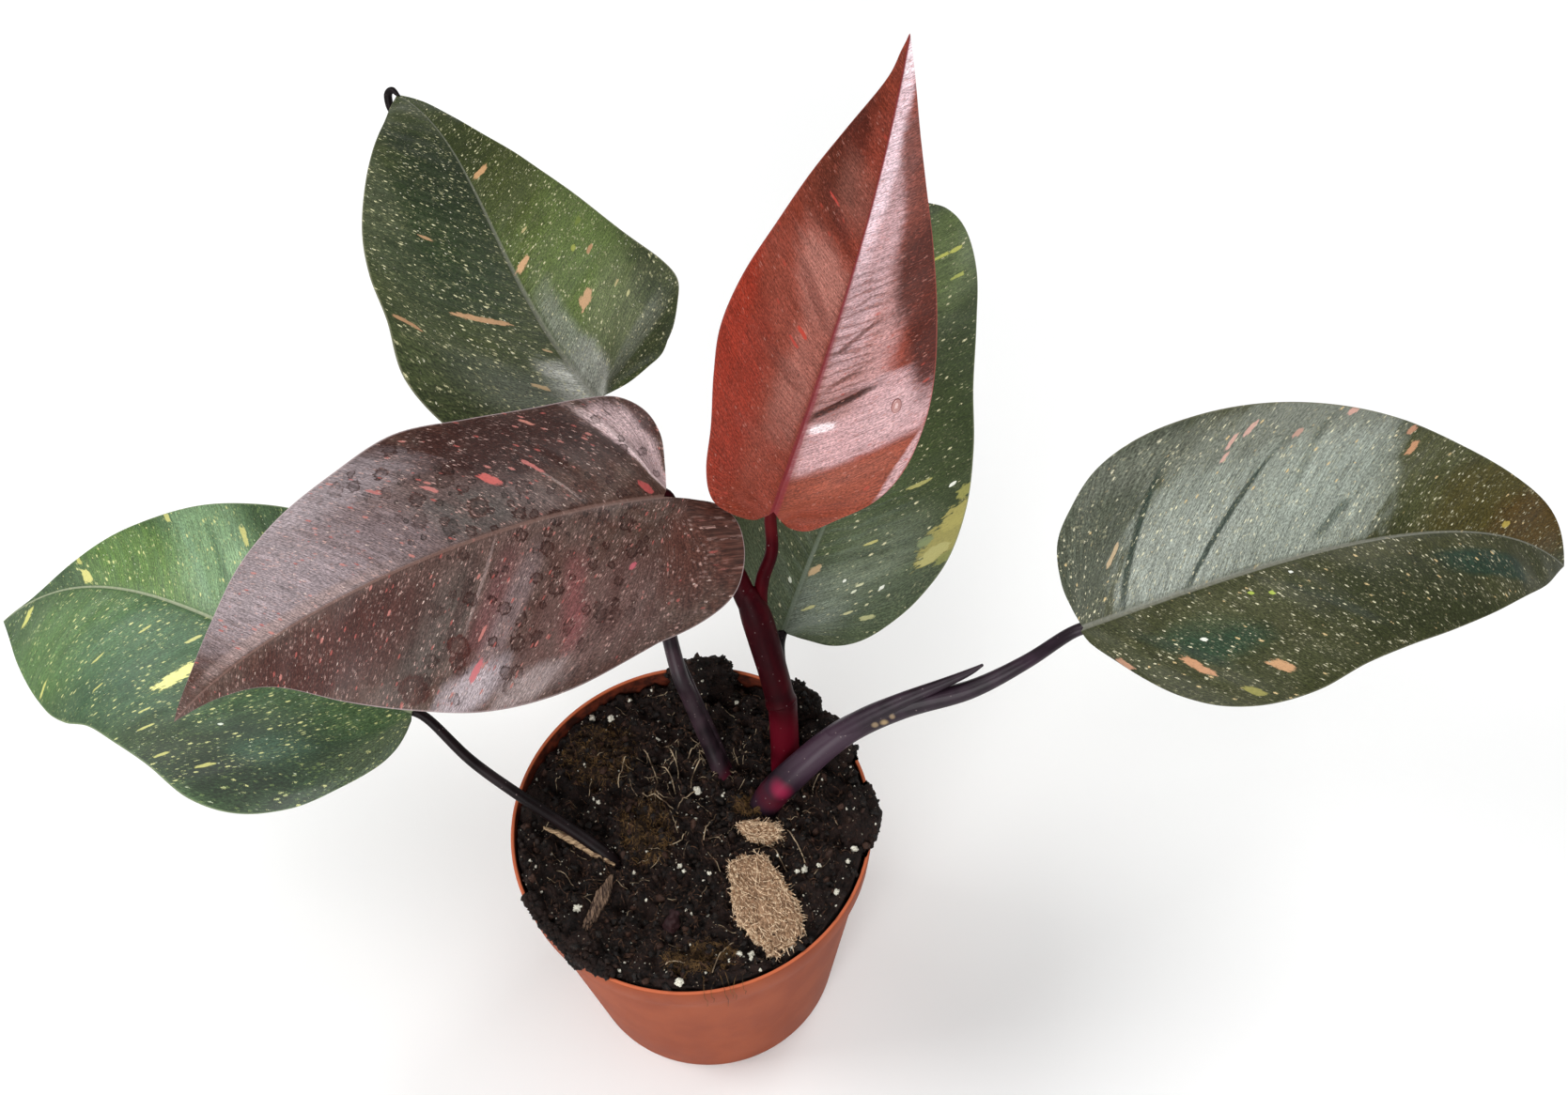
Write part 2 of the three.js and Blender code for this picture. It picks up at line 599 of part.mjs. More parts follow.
// Colours of the pieces, as seen.
const finishes = {
  terracotta: new THREE.MeshStandardMaterial({ color: 0xb8694a, roughness: 0.75, metalness: 0 }),
  soil: new THREE.MeshStandardMaterial({ color: 0x2c211a, roughness: 1, metalness: 0 }),
  green: new THREE.MeshStandardMaterial({ color: 0x46603f, roughness: 0.4, metalness: 0 }),
  purple: new THREE.MeshStandardMaterial({ color: 0x6b4d48, roughness: 0.4, metalness: 0 }),
  red: new THREE.MeshStandardMaterial({ color: 0x9c4238, roughness: 0.3, metalness: 0 }),
  wine: new THREE.MeshStandardMaterial({ color: 0x4a1420, roughness: 0.35, metalness: 0 }),
  dusk: new THREE.MeshStandardMaterial({ color: 0x3d2c35, roughness: 0.5, metalness: 0 }),
  coir: new THREE.MeshStandardMaterial({ color: 0xb0906a, roughness: 1, metalness: 0 }),
  bark: new THREE.MeshStandardMaterial({ color: 0x7d6146, roughness: 1, metalness: 0 }),
};

const plant = new THREE.Group();
function add(name, geometry, finish) {
  const mesh = new THREE.Mesh(geometry, finishes[finish]);
  mesh.name = name;
  plant.add(mesh);
}

add("pot", buildPot(), "terracotta");
add("soil", buildSoil(), "soil");
const joined = (first, second) => stalkSolid(first).add(stalkSolid(second));
add("main_stem", toGeometry(joined("trunk", "purple_arm").subtract(holeFor(stalks.red))), "wine");
add("petiole_red", buildStalk(stalks.red), "wine");
add("petiole_right", toGeometry(joined("right", "right_sheath")), "dusk");
add("petiole_back_left", toGeometry(joined("back_left", "back_left_sheath")), "dusk");
add("petiole_low_left", buildStalk(stalks.low_left), "dusk");
add("petiole_back_right", buildStalk(stalks.back_right), "dusk");
add("leaf_stub", buildStalk(stalks.stub), "wine");
for (const [name, blade] of Object.entries(blades)) {
  const finish = { blade_purple: "purple", blade_red: "red" }[name] ?? "green";
  const geometry = new Blade(blade).build();
  const withTip = () => toGeometry(toSolid(geometry).add(stalkSolid("curled_tip")));
  add(name, name === "blade_back_left" ? withTip() : geometry, finish);
}
for (const [name, { outline, low, high, rounding }] of Object.entries(litter)) {
  add(name, chunk(outline, low, high, rounding), name.startsWith("coir") ? "coir" : "bark");
}
add("dry_sheath", buildStalk(drySheath, 2, 6), "bark");

export default plant;
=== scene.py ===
import math
import random

import bmesh
import bpy
import numpy as np
from mathutils import Matrix, Vector, noise


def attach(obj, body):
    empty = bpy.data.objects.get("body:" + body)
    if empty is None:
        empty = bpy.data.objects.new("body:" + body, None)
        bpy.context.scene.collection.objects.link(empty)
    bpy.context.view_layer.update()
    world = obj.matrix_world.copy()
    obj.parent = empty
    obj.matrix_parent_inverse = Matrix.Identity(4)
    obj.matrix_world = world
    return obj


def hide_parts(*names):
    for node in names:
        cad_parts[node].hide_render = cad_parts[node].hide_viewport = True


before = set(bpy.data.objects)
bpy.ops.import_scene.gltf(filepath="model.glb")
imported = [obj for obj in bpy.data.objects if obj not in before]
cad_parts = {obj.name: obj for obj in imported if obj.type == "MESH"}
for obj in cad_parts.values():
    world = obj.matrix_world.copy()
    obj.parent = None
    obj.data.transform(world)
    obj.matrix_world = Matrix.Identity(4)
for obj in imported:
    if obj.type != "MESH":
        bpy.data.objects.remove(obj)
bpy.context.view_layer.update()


# The pot is a thin nursery pot, moulded in matt terracotta-coloured plastic. It is one tapered
# shell with a collar that steps out under the lip, and its floor has eight drainage holes.
MM = 0.001
POT_HEIGHT = 105
RIM_RADIUS = 59.2
NECK_RADIUS = 57
FOOT_RADIUS = 45
POT_WALL = 1.2
COLLAR_FOOT = 93
COLLAR_STEP = 1.5
MOUTH_RADIUS = NECK_RADIUS + COLLAR_STEP - POT_WALL
POT_FLOOR = 1.6
POT_SIDES = 160
HOLE_COUNT = 8
HOLE_RADIUS = 4.5
HOLE_CIRCLE = 30
LIP_PALE_FROM = 104.3
LIP_PALE_TO = 104.9
STAIN_AND_SHADE_BELOW = 104
SHARP_ANGLE = 38


def paint(code):
    """A colour as shown on a screen, such as b06246, as the linear values that Blender wants."""
    shown = [int(code[i:i + 2], 16) / 255 for i in (0, 2, 4)]
    linear = [c / 12.92 if c <= 0.04045 else ((c + 0.055) / 1.055) ** 2.4 for c in shown]
    return (*linear, 1.0)


def feed(tree, socket, value):
    """Links a socket to another node's output, or gives it a plain value."""
    if isinstance(value, bpy.types.NodeSocket):
        tree.links.new(value, socket)
    else:
        socket.default_value = value


def add_node(tree, kind, inputs, **settings):
    """A new node of a tree, with its settings and what each of its inputs is fed."""
    node = tree.nodes.new(kind)
    for key, value in settings.items():
        setattr(node, key, value)
    for key, value in inputs.items():
        feed(tree, node.inputs[key], value)
    return node


class Finish:
    """A procedural material, built up one texture step at a time. Sizes are in millimetres."""

    def __init__(self, name, roughness, specular=0.5):
        self.material = bpy.data.materials.new(name)
        self.material.use_nodes = True
        self.tree = self.material.node_tree
        self.shader = self.tree.nodes["Principled BSDF"]
        self.shader.inputs["Specular IOR Level"].default_value = specular
        self.shader.inputs["Roughness"].default_value = roughness
        self.object_place = self.tree.nodes.new("ShaderNodeTexCoord").outputs["Object"]

    def add(self, kind, inputs, **settings):
        return add_node(self.tree, kind, inputs, **settings)

    def map(self, name):
        return self.add("ShaderNodeUVMap", {}, uv_map=name).outputs[0]

    def own(self, name):
        return self.add("ShaderNodeAttribute", {}, attribute_name=name).outputs["Fac"]

    def axes(self, place):
        return self.add("ShaderNodeSeparateXYZ", {0: place}).outputs

    def sum(self, operation, first, second=0.0):
        return self.add("ShaderNodeMath", {0: first, 1: second}, operation=operation).outputs[0]

    def times(self, first, second):
        return self.sum("MULTIPLY", first, second)

    def ease(self, value, low, high, start=0.0, end=1.0):
        """Goes smoothly from start to end as value goes from low to high."""
        inputs = {0: value, 1: low, 2: high, 3: start, 4: end}
        return self.add("ShaderNodeMapRange", inputs, interpolation_type="SMOOTHSTEP").outputs[0]

    def stretch(self, place, size, turn=0.0):
        """The place in grains of that size along each axis."""
        scale = [1 / (side * MM) for side in size]
        inputs = {"Vector": place, "Rotation": (0, 0, math.radians(turn)), "Scale": scale}
        return self.add("ShaderNodeMapping", inputs).outputs[0]

    def grain(self, place, detail=3.0, rough=0.55):
        inputs = {"Vector": place, "Scale": 1.0, "Detail": detail, "Roughness": rough}
        return self.add("ShaderNodeTexNoise", inputs).outputs[0]

    def mottle(self, size, detail=3.0, rough=0.55, turn=0.0):
        """Noise all through the piece, in grains of that size along its own axes."""
        return self.grain(self.stretch(self.object_place, size, turn), detail, rough)

    def cells(self, place, dimensions="3D"):
        """How far the nearest cell's middle is, and that cell's own two random shares."""
        inputs = {"Vector": place, "Scale": 1.0}
        node = self.add("ShaderNodeTexVoronoi", inputs, voronoi_dimensions=dimensions)
        split = self.add("ShaderNodeSeparateColor", {0: node.outputs["Color"]})
        return node.outputs["Distance"], split.outputs[0], split.outputs[1]

    def local(self, place, centre, size, turn=0.0):
        """The place as seen from a centre, with that half size as 1 along each axis."""
        inputs = {"Vector": place, "Location": [c * MM for c in centre],
                  "Rotation": (0, 0, math.radians(turn)), "Scale": [s * MM for s in size]}
        return self.add("ShaderNodeMapping", inputs, vector_type="TEXTURE").outputs[0]

    def length(self, place):
        return self.add("ShaderNodeVectorMath", {0: place}, operation="LENGTH").outputs["Value"]

    def tint(self, share, below, above):
        node = self.tree.nodes.new("ShaderNodeMix")
        node.data_type = "RGBA"
        for index, value in ((0, share), (6, below), (7, above)):
            feed(self.tree, node.inputs[index], value)
        return node.outputs[2]

    def shades(self, value, low, high, dark, light):
        """From one painted colour to another as value goes from low to high."""
        return self.tint(self.ease(value, low, high), paint(dark), paint(light))

    def lit(self, colour, value):
        """The colour made brighter or darker by that factor."""
        return self.add("ShaderNodeHueSaturation", {"Color": colour, "Value": value}).outputs[0]

    def bump(self, height, depth):
        """Raises the surface by up to that depth where height is 1."""
        inputs = {"Height": height, "Distance": depth * MM, "Strength": 1.0}
        earlier = self.shader.inputs["Normal"].links
        if earlier:
            inputs["Normal"] = earlier[0].from_socket
        self.tree.links.new(self.add("ShaderNodeBump", inputs).outputs[0], self.shader.inputs["Normal"])

    def colour(self, value):
        """Gives the finish its colour and hands over the material."""
        self.tree.links.new(value, self.shader.inputs["Base Color"])
        return self.material


def new_mesh(name, points, faces, *materials):
    """A mesh from points in millimetres."""
    mesh = bpy.data.meshes.new(name)
    mesh.from_pydata([[c * MM for c in p] for p in points], [], faces)
    for material in materials:
        mesh.materials.append(material)
    mesh.shade_smooth()
    return mesh


def stand(mesh):
    """Puts a finished mesh in the plant's frame, as a piece of the same name."""
    piece = bpy.data.objects.new(mesh.name, mesh)
    bpy.context.scene.collection.objects.link(piece)
    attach(piece, "root")
    return piece


def turned_mesh(name, profile, sides, *materials):
    """A body turned about Z, from [radius, height] pairs that start and end on the axis."""
    points = [(0, 0, profile[0][1])]
    for radius, height in profile[1:-1]:
        for k in range(sides):
            angle = math.tau * k / sides
            points.append((radius * math.cos(angle), radius * math.sin(angle), height))
    points.append((0, 0, profile[-1][1]))
    faces = []
    rings = len(profile) - 2
    for k in range(sides):
        after = (k + 1) % sides
        faces.append((0, 1 + after, 1 + k))
        for ring in range(rings - 1):
            low = 1 + ring * sides
            faces.append((low + k, low + after, low + sides + after, low + sides + k))
        last = 1 + (rings - 1) * sides
        faces.append((len(points) - 1, last + k, last + after))
    return new_mesh(name, points, faces, *materials)


def wall_radius(height):
    return FOOT_RADIUS + (NECK_RADIUS - FOOT_RADIUS) * height / COLLAR_FOOT


terracotta = Finish("terracotta plastic", 0.55, 0.09)
pot_colour = terracotta.shades(terracotta.mottle((14, 14, 22), 4.0), 0.3, 0.7, "83391b", "914423")
pot_height = terracotta.axes(terracotta.object_place)[2]
lip_share = terracotta.ease(pot_height, LIP_PALE_FROM * MM, LIP_PALE_TO * MM)
pot_colour = terracotta.tint(lip_share, pot_colour, paint("b96242"))
dust = terracotta.mottle((2.2, 2.2, 2.2), 5.0, 0.7)
pot_colour = terracotta.tint(terracotta.ease(dust, 0.6, 0.8, 0, 0.3), pot_colour, paint("74391f"))
terracotta.bump(terracotta.mottle((0.7, 0.7, 0.7)), 0.05)
pot_skin = terracotta.colour(pot_colour)
# The inner wall is darker: partly soil stain, partly painted shade inside the pot.
stain_and_shade = Finish("stained and painted-shade terracotta plastic", 0.55, 0.25)
stain_and_shade_skin = stain_and_shade.colour(
    stain_and_shade.shades(stain_and_shade.mottle((5, 5, 5), 4.0, 0.7), 0.35, 0.7, "2c130d", "6b2e1c"))

outside = [
    (0, 0), (12, 0), (FOOT_RADIUS - 1.5, 0), (FOOT_RADIUS - 0.7, 0.15), (FOOT_RADIUS - 0.1, 0.6),
    (wall_radius(1.6), 1.6), (wall_radius(30), 30), (wall_radius(60), 60), (wall_radius(85), 85),
    (NECK_RADIUS - 0.05, COLLAR_FOOT - 0.4), (NECK_RADIUS + 0.2, COLLAR_FOOT),
    (NECK_RADIUS + 1.3, COLLAR_FOOT + 0.9), (NECK_RADIUS + 1.55, COLLAR_FOOT + 1.6),
    (RIM_RADIUS - 0.15, 101), (RIM_RADIUS, 103.9), (RIM_RADIUS, 104.4), (RIM_RADIUS - 0.15, 104.8),
    (RIM_RADIUS - 0.45, POT_HEIGHT),
]
inside = [
    (RIM_RADIUS - 0.75, POT_HEIGHT), (RIM_RADIUS - 1.05, 104.8), (RIM_RADIUS - POT_WALL, 104.3),
    (MOUTH_RADIUS, 95), (MOUTH_RADIUS - 0.3, 94.2), (NECK_RADIUS - POT_WALL, 91.5),
    (wall_radius(60) - POT_WALL, 60), (wall_radius(30) - POT_WALL, 30),
    (wall_radius(POT_FLOOR) - POT_WALL, POT_FLOOR), (12, POT_FLOOR), (0, POT_FLOOR),
]
pot_mesh = turned_mesh("pot_shell", outside + inside, POT_SIDES, pot_skin, stain_and_shade_skin)
for face in pot_mesh.polygons:
    centre = face.center
    inward = face.normal.x * centre.x + face.normal.y * centre.y < 0
    if inward and POT_FLOOR * MM < centre.z < STAIN_AND_SHADE_BELOW * MM:
        face.material_index = 1
pot = stand(pot_mesh)
drills = bmesh.new()
for k in range(HOLE_COUNT):
    angle = math.tau * k / HOLE_COUNT
    place = Matrix.Translation(Vector((math.cos(angle), math.sin(angle), 0)) * HOLE_CIRCLE * MM)
    bmesh.ops.create_cone(drills, cap_ends=True, segments=32, radius1=HOLE_RADIUS * MM,
                          radius2=HOLE_RADIUS * MM, depth=4 * POT_FLOOR * MM, matrix=place)
drill_mesh = bpy.data.meshes.new("drills")
drills.to_mesh(drill_mesh)
drills.free()
drill = bpy.data.objects.new("drills", drill_mesh)
bpy.context.scene.collection.objects.link(drill)
cut = pot.modifiers.new("drainage", "BOOLEAN")
cut.object = drill
cut.operation = "DIFFERENCE"


def settle(piece):
    """Turns a piece's modifiers into its plain mesh."""
    shown = piece.evaluated_get(bpy.context.evaluated_depsgraph_get())
    mesh = bpy.data.meshes.new_from_object(shown)
    piece.modifiers.clear()
    piece.data = mesh
    return mesh


settle(pot).set_sharp_from_angle(angle=math.radians(SHARP_ANGLE))
bpy.data.objects.remove(drill)
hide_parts("pot")


# The soil is dark, fibrous peat that fills the pot, lumpy on top, higher at the right, banked up
# to the lip at the left, with clods that lie on the lip. The stalks come up through it.
SOIL_LEVEL = 101
SOIL_RISE = 4
SOIL_RISE_AZIMUTH = -0.7
BANK_HEIGHT = 6
BANK_AZIMUTH = 3.2
BANK_SPREAD = 1.1
BANK_FROM = 38
BANK_TO = 56
SOIL_RINGS = 110
SOIL_SIDES = 300
SOIL_CROWDING = 0.8
SOIL_GAP = 0.3
SOIL_SHOULDER = (NECK_RADIUS - POT_WALL - 0.5, 91)
SOIL_FOOT = (FOOT_RADIUS - 1.4, 2)
CLUMP_DETAIL = 6
CLODS = ((-13, 2, 9, 2.5), (-27, 31, 10, 2.5), (-8, -44, 9, 1.5), (47, 12, 12, 2.5))
RIM_CLUMPS = (
    (222, 54.5, 102.5, (6, 8, 5)), (-10, 55, 105, (7, 14, 6)), (22, 54, 106, (8, 12, 7)),
    (41, 55, 108, (7, 10, 7)), (77, 55, 106, (7, 13, 7)),
)
CALM_SPOTS = ((-30, -16, 6), (-34, -22, 7), (-38, -28, 6), (-37, -1, 7), (19, -34, 13), (21, -8, 8))
BROWN_LUMPS = ((-15, 2, 9, 13), (-27, 33, 13, 13), (22, 4, 7, 4), (-4, -47, 12, 5))


def soil_height(x, y):
    """The height of the soil's surface, without its crumbs."""
    radius = math.hypot(x, y)
    azimuth = math.atan2(y, x) % math.tau
    rise = SOIL_RISE * (radius / RIM_RADIUS) * math.cos(azimuth - SOIL_RISE_AZIMUTH)
    near_wall = min(1, max(0, (radius - BANK_FROM) / (BANK_TO - BANK_FROM)))
    near_wall = near_wall * near_wall * (3 - 2 * near_wall)
    bank = BANK_HEIGHT * near_wall * math.exp(-((azimuth - BANK_AZIMUTH) / BANK_SPREAD) ** 2)
    lumps = 0.9 * math.sin(0.31 * x + 1.7) * math.sin(0.27 * y + 0.4)
    lumps += 0.8 * math.sin(0.62 * x - 0.35 * y) + 0.6 * math.sin(0.71 * y + 0.44 * x + 2)
    for clod_x, clod_y, spread, high in CLODS:
        lumps += high * math.exp(-((x - clod_x) ** 2 + (y - clod_y) ** 2) / spread ** 2)
    return SOIL_LEVEL + rise + bank + lumps


def calm(x, y):
    """How much of its roughness the soil has at a place: less round the pieces that lie in it."""
    share = 1.0
    for spot_x, spot_y, radius in CALM_SPOTS:
        share = min(share, math.hypot(x - spot_x, y - spot_y) / radius)
    return share


def rough_height(x, y):
    """The same with the peat's own lumps and pits."""
    coarse = noise.fractal(Vector((x / 6, y / 6, 3)), 0.8, 2.1, 3)
    fine = noise.fractal(Vector((x / 1.6, y / 1.6, 9)), 0.8, 2.2, 4)
    return soil_height(x, y) + (2.4 * coarse + 1.5 * fine) * (0.25 + 0.75 * calm(x, y))


peat = Finish("peat", 0.65, 0.25)
clot = peat.mottle((5, 5, 5), 6.0, 0.65)
speck = peat.mottle((0.7, 0.7, 0.7), 4.0, 0.7)
peat_colour = peat.shades(clot, 0.35, 0.65, "080403", "24140f")
peat_colour = peat.tint(peat.ease(speck, 0.5, 0.72, 0, 0.7), peat_colour, paint("3f291d"))
for lump_x, lump_y, reach_x, reach_y in BROWN_LUMPS:
    local = peat.local(peat.object_place, (lump_x, lump_y, SOIL_LEVEL), (reach_x, reach_y, 20))
    away = peat.sum("ADD", peat.length(local), peat.times(clot, 0.9))
    peat_colour = peat.tint(peat.ease(away, 1.5, 0.8, 0, 0.7), peat_colour,
                            peat.tint(speck, paint("180f09"), paint("3f2d1a")))
peat.bump(speck, 1.0)
peat_skin = peat.colour(peat_colour)


def ball_shape(subdivisions, radius):
    """The points and the triangles of a round ball."""
    ball = bmesh.new()
    bmesh.ops.create_icosphere(ball, subdivisions=subdivisions, radius=radius)
    points = [vertex.co.copy() for vertex in ball.verts]
    triangles = [[vertex.index for vertex in face.verts] for face in ball.faces]
    ball.free()
    return points, triangles


soil_points = []
for ring in range(SOIL_RINGS + 1):
    radius = (MOUTH_RADIUS - SOIL_GAP) * (ring / SOIL_RINGS) ** SOIL_CROWDING
    for k in range(SOIL_SIDES if ring else 1):
        angle = math.tau * k / SOIL_SIDES
        x, y = radius * math.cos(angle), radius * math.sin(angle)
        soil_points.append((x, y, rough_height(x, y)))
for radius, height in (SOIL_SHOULDER, SOIL_FOOT):
    for k in range(SOIL_SIDES):
        angle = math.tau * k / SOIL_SIDES
        soil_points.append((radius * math.cos(angle), radius * math.sin(angle), height))
soil_points.append((0, 0, SOIL_FOOT[1]))
soil_faces = []
for k in range(SOIL_SIDES):
    after = (k + 1) % SOIL_SIDES
    soil_faces.append((0, 1 + k, 1 + after))
    for ring in range(SOIL_RINGS + 1):
        low = 1 + ring * SOIL_SIDES
        soil_faces.append((low + k, low + SOIL_SIDES + k, low + SOIL_SIDES + after, low + after))
    last = 1 + (SOIL_RINGS + 1) * SOIL_SIDES
    soil_faces.append((len(soil_points) - 1, last + after, last + k))
ball_points, ball_triangles = ball_shape(CLUMP_DETAIL, 1)
for azimuth, out, height, size in RIM_CLUMPS:
    turn = Matrix.Rotation(math.radians(azimuth), 3, "Z")
    soil_faces += [[len(soil_points) + index for index in triangle] for triangle in ball_triangles]
    for place in ball_points:
        bumpy = 0.88 + 0.24 * noise.fractal(place * 1.7 + Vector((azimuth, 0, 0)), 0.8, 2.2, 6)
        point = turn @ (Vector([c * s for c, s in zip(place * bumpy, size)]) + Vector((out, 0, 0)))
        lift = point.z + height
        if MOUTH_RADIUS - 0.6 < math.hypot(point.x, point.y) < RIM_RADIUS + 0.3:
            lift = max(lift, POT_HEIGHT + 0.2)
        soil_points.append((point.x, point.y, lift))
soil = stand(new_mesh("soil_body", soil_points, soil_faces, peat_skin))
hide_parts("soil")


# Crumbs of peat and grains of white perlite lie loose on the soil. Each is a small rough lump.
# They are strewn over the surface with fixed seeds, but the larger white grains are set one by one.
SHADE_SEED = 5
CRUMB_SEED = 7
GRIT_AND_GLINT_SEED = 15
PERLITE_SEED = 21
LIP_SEED = 4
LIP_CRUMBS = 330
LIP_STRETCH = (196, 236)
LEAST_SLOPE = 0.1
LOWEST_GRAIN = 94
LEAST_ROUGHNESS = 0.7
LARGE_PERLITE = (
    (-27.5, 48.2, 2.2), (-21.4, 45.3, 2.2), (-6.8, 35, 1.7), (3.7, 12.1, 2.9), (6.5, 10.5, 1.5),
    (43.4, 26.8, 2.6), (57.2, -11.7, 2), (50.4, -20.5, 2.2), (47.5, -23.5, 1.6), (41.9, -34.1, 2),
    (-40.2, -22.7, 2.6), (-11.7, -54.8, 2.8), (33.2, -23.1, 2.6), (30.8, -24, 1.6), (7.9, -48.6, 2.2),
    (11.7, -48.8, 2.1), (-21, -12.8, 1.5), (-29.4, 14.9, 1.5), (11.5, -50.5, 1.4), (-6, -14, 1.6),
    (-5, -16.5, 1.3), (38, -24, 1.6), (15, 20, 1.5), (-14, 52, 1.4), (22, 44, 1.5), (3, -19, 1.3),
)


def new_tree(name, **kinds):
    """A geometry tree with one mesh input and the named inputs of those kinds."""
    tree = bpy.data.node_groups.new(name, "GeometryNodeTree")
    tree.interface.new_socket("Geometry", in_out="INPUT", socket_type="NodeSocketGeometry")
    for title, kind in kinds.items():
        tree.interface.new_socket(title, in_out="INPUT", socket_type="NodeSocket" + kind)
    tree.interface.new_socket("Geometry", in_out="OUTPUT", socket_type="NodeSocketGeometry")
    return tree


def lump_tree(name, material, flatness):
    """A tree that strews rough lumps over a surface. Its inputs are how many lie on a square
    metre, their smallest and largest size in metres, and the seed."""
    tree = new_tree(name, Density="Float", Smallest="Float", Largest="Float", Seed="Int")

    def add(kind, inputs, **settings):
        return add_node(tree, kind, inputs, **settings)

    given = add("NodeGroupInput", {}).outputs
    spread = add("GeometryNodeDistributePointsOnFaces",
                 {"Mesh": given["Geometry"], "Density": given["Density"], "Seed": given["Seed"]})
    ball = add("GeometryNodeMeshIcoSphere", {"Radius": 0.5, "Subdivisions": 2}).outputs["Mesh"]
    rough = add("ShaderNodeTexNoise", {"Scale": 2.6, "Detail": 1.0})
    knock = add("ShaderNodeVectorMath", {0: rough.outputs["Color"], 1: (0.5, 0.5, 0.5)},
                operation="SUBTRACT")
    ball = add("GeometryNodeSetPosition", {"Geometry": ball, "Offset": knock.outputs[0]}).outputs[0]
    turn = add("FunctionNodeRandomValue", {0: (0, 0, 0), 1: (6.28, 6.28, 6.28), "Seed": given["Seed"]},
               data_type="FLOAT_VECTOR")
    draw = add("FunctionNodeRandomValue", {2: 0.0, 3: 1.0, "Seed": given["Seed"]}, data_type="FLOAT")
    skewed = add("ShaderNodeMath", {0: draw.outputs[1], 1: 2.5}, operation="POWER")
    size = add("ShaderNodeMapRange", {0: skewed.outputs[0], 3: given["Smallest"], 4: given["Largest"]})
    shape = add("ShaderNodeCombineXYZ", {0: 1.0, 1: 0.8, 2: flatness})
    scale = add("ShaderNodeVectorMath", {0: shape.outputs[0], "Scale": size.outputs[0]},
                operation="SCALE")
    strewn = add("GeometryNodeInstanceOnPoints",
                 {"Points": spread.outputs["Points"], "Instance": ball,
                  "Rotation": turn.outputs[0], "Scale": scale.outputs[0]})
    shade = add("FunctionNodeRandomValue", {2: 0.0, 3: 1.0, "Seed": SHADE_SEED},
                data_type="FLOAT")
    kept = add("GeometryNodeStoreNamedAttribute",
               {"Geometry": strewn.outputs[0], "Name": "shade", "Value": shade.outputs[1]},
               domain="INSTANCE", data_type="FLOAT")
    real = add("GeometryNodeRealizeInstances", {"Geometry": kept.outputs[0]})
    smooth = add("GeometryNodeSetShadeSmooth", {"Geometry": real.outputs[0]})
    coloured = add("GeometryNodeSetMaterial", {"Geometry": smooth.outputs[0], "Material": material})
    add("NodeGroupOutput", {0: coloured.outputs[0]})
    return tree


def grow(name, mesh, tree, slot, **sizes):
    """Runs a tree on a mesh and keeps the result as a plain piece."""
    piece = bpy.data.objects.new(name, mesh)
    bpy.context.scene.collection.objects.link(piece)
    modifier = piece.modifiers.new("grow", "NODES")
    modifier.node_group = tree
    names = {item.name: item.identifier for item in tree.interface.items_tree if item.in_out == "INPUT"}
    for title, value in sizes.items():
        modifier[names[title.capitalize()]] = value
    settle(piece)
    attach(piece, "root")
    return piece


crumb = Finish("peat crumb", 0.6, 0.3)
shade = crumb.own("shade")
gritty = crumb.mottle((0.5, 0.5, 0.5))
crumb_colour = crumb.shades(shade, 0.45, 1.05, "0a0504", "3a2217")
crumb.bump(gritty, 0.5)
crumb_colour = crumb.tint(crumb.ease(gritty, 0.5, 0.75, 0, 0.5), crumb_colour, paint("5a4230"))
crumb_skin = crumb.colour(crumb_colour)
# Pale grains: partly real pale specks in the peat, partly painted glints of the moist soil.
grit_and_glint = Finish("pale grit and painted glints", 0.7, 0.4)
grit_and_glint_skin = grit_and_glint.colour(grit_and_glint.tint(grit_and_glint.own("shade"), paint("6e5a48"), paint("c9bda8")))
perlite = Finish("perlite", 0.9, 0.3)
pitted = perlite.mottle((0.4, 0.4, 0.4))
perlite.bump(pitted, 0.15)
perlite_skin = perlite.colour(perlite.shades(pitted, 0.3, 0.6, "a39c88", "e6e3d4"))

# Loose grains lie on the upper side of the soil and its clods.
upper_side = bmesh.new()
upper_side.from_mesh(soil.data)
lost = []
for face in upper_side.faces:
    middle = face.calc_center_median() / MM
    looks_up = face.normal.z >= LEAST_SLOPE and middle.z >= LOWEST_GRAIN
    if not looks_up or calm(middle.x, middle.y) < LEAST_ROUGHNESS:
        lost.append(face)
bmesh.ops.delete(upper_side, geom=lost, context="FACES")
ground = bpy.data.meshes.new("ground")
upper_side.to_mesh(ground)
upper_side.free()


def grains_mesh(name, grains, rough, subdivisions, material):
    """Rough balls in one mesh, each given as x, y, z and width in millimetres."""
    points, faces = [], []
    ball, triangles = ball_shape(subdivisions, 0.5)
    for order, (x, y, z, size) in enumerate(grains):
        faces += [[len(points) + index for index in triangle] for triangle in triangles]
        for place in ball:
            bumpy = 1 + rough * noise.fractal(place * 3 + Vector((order, 0, 0)), 0.8, 2.2, 3)
            points.append(Vector((x, y, z)) + place * bumpy * size)
    return new_mesh(name, points, faces, material)


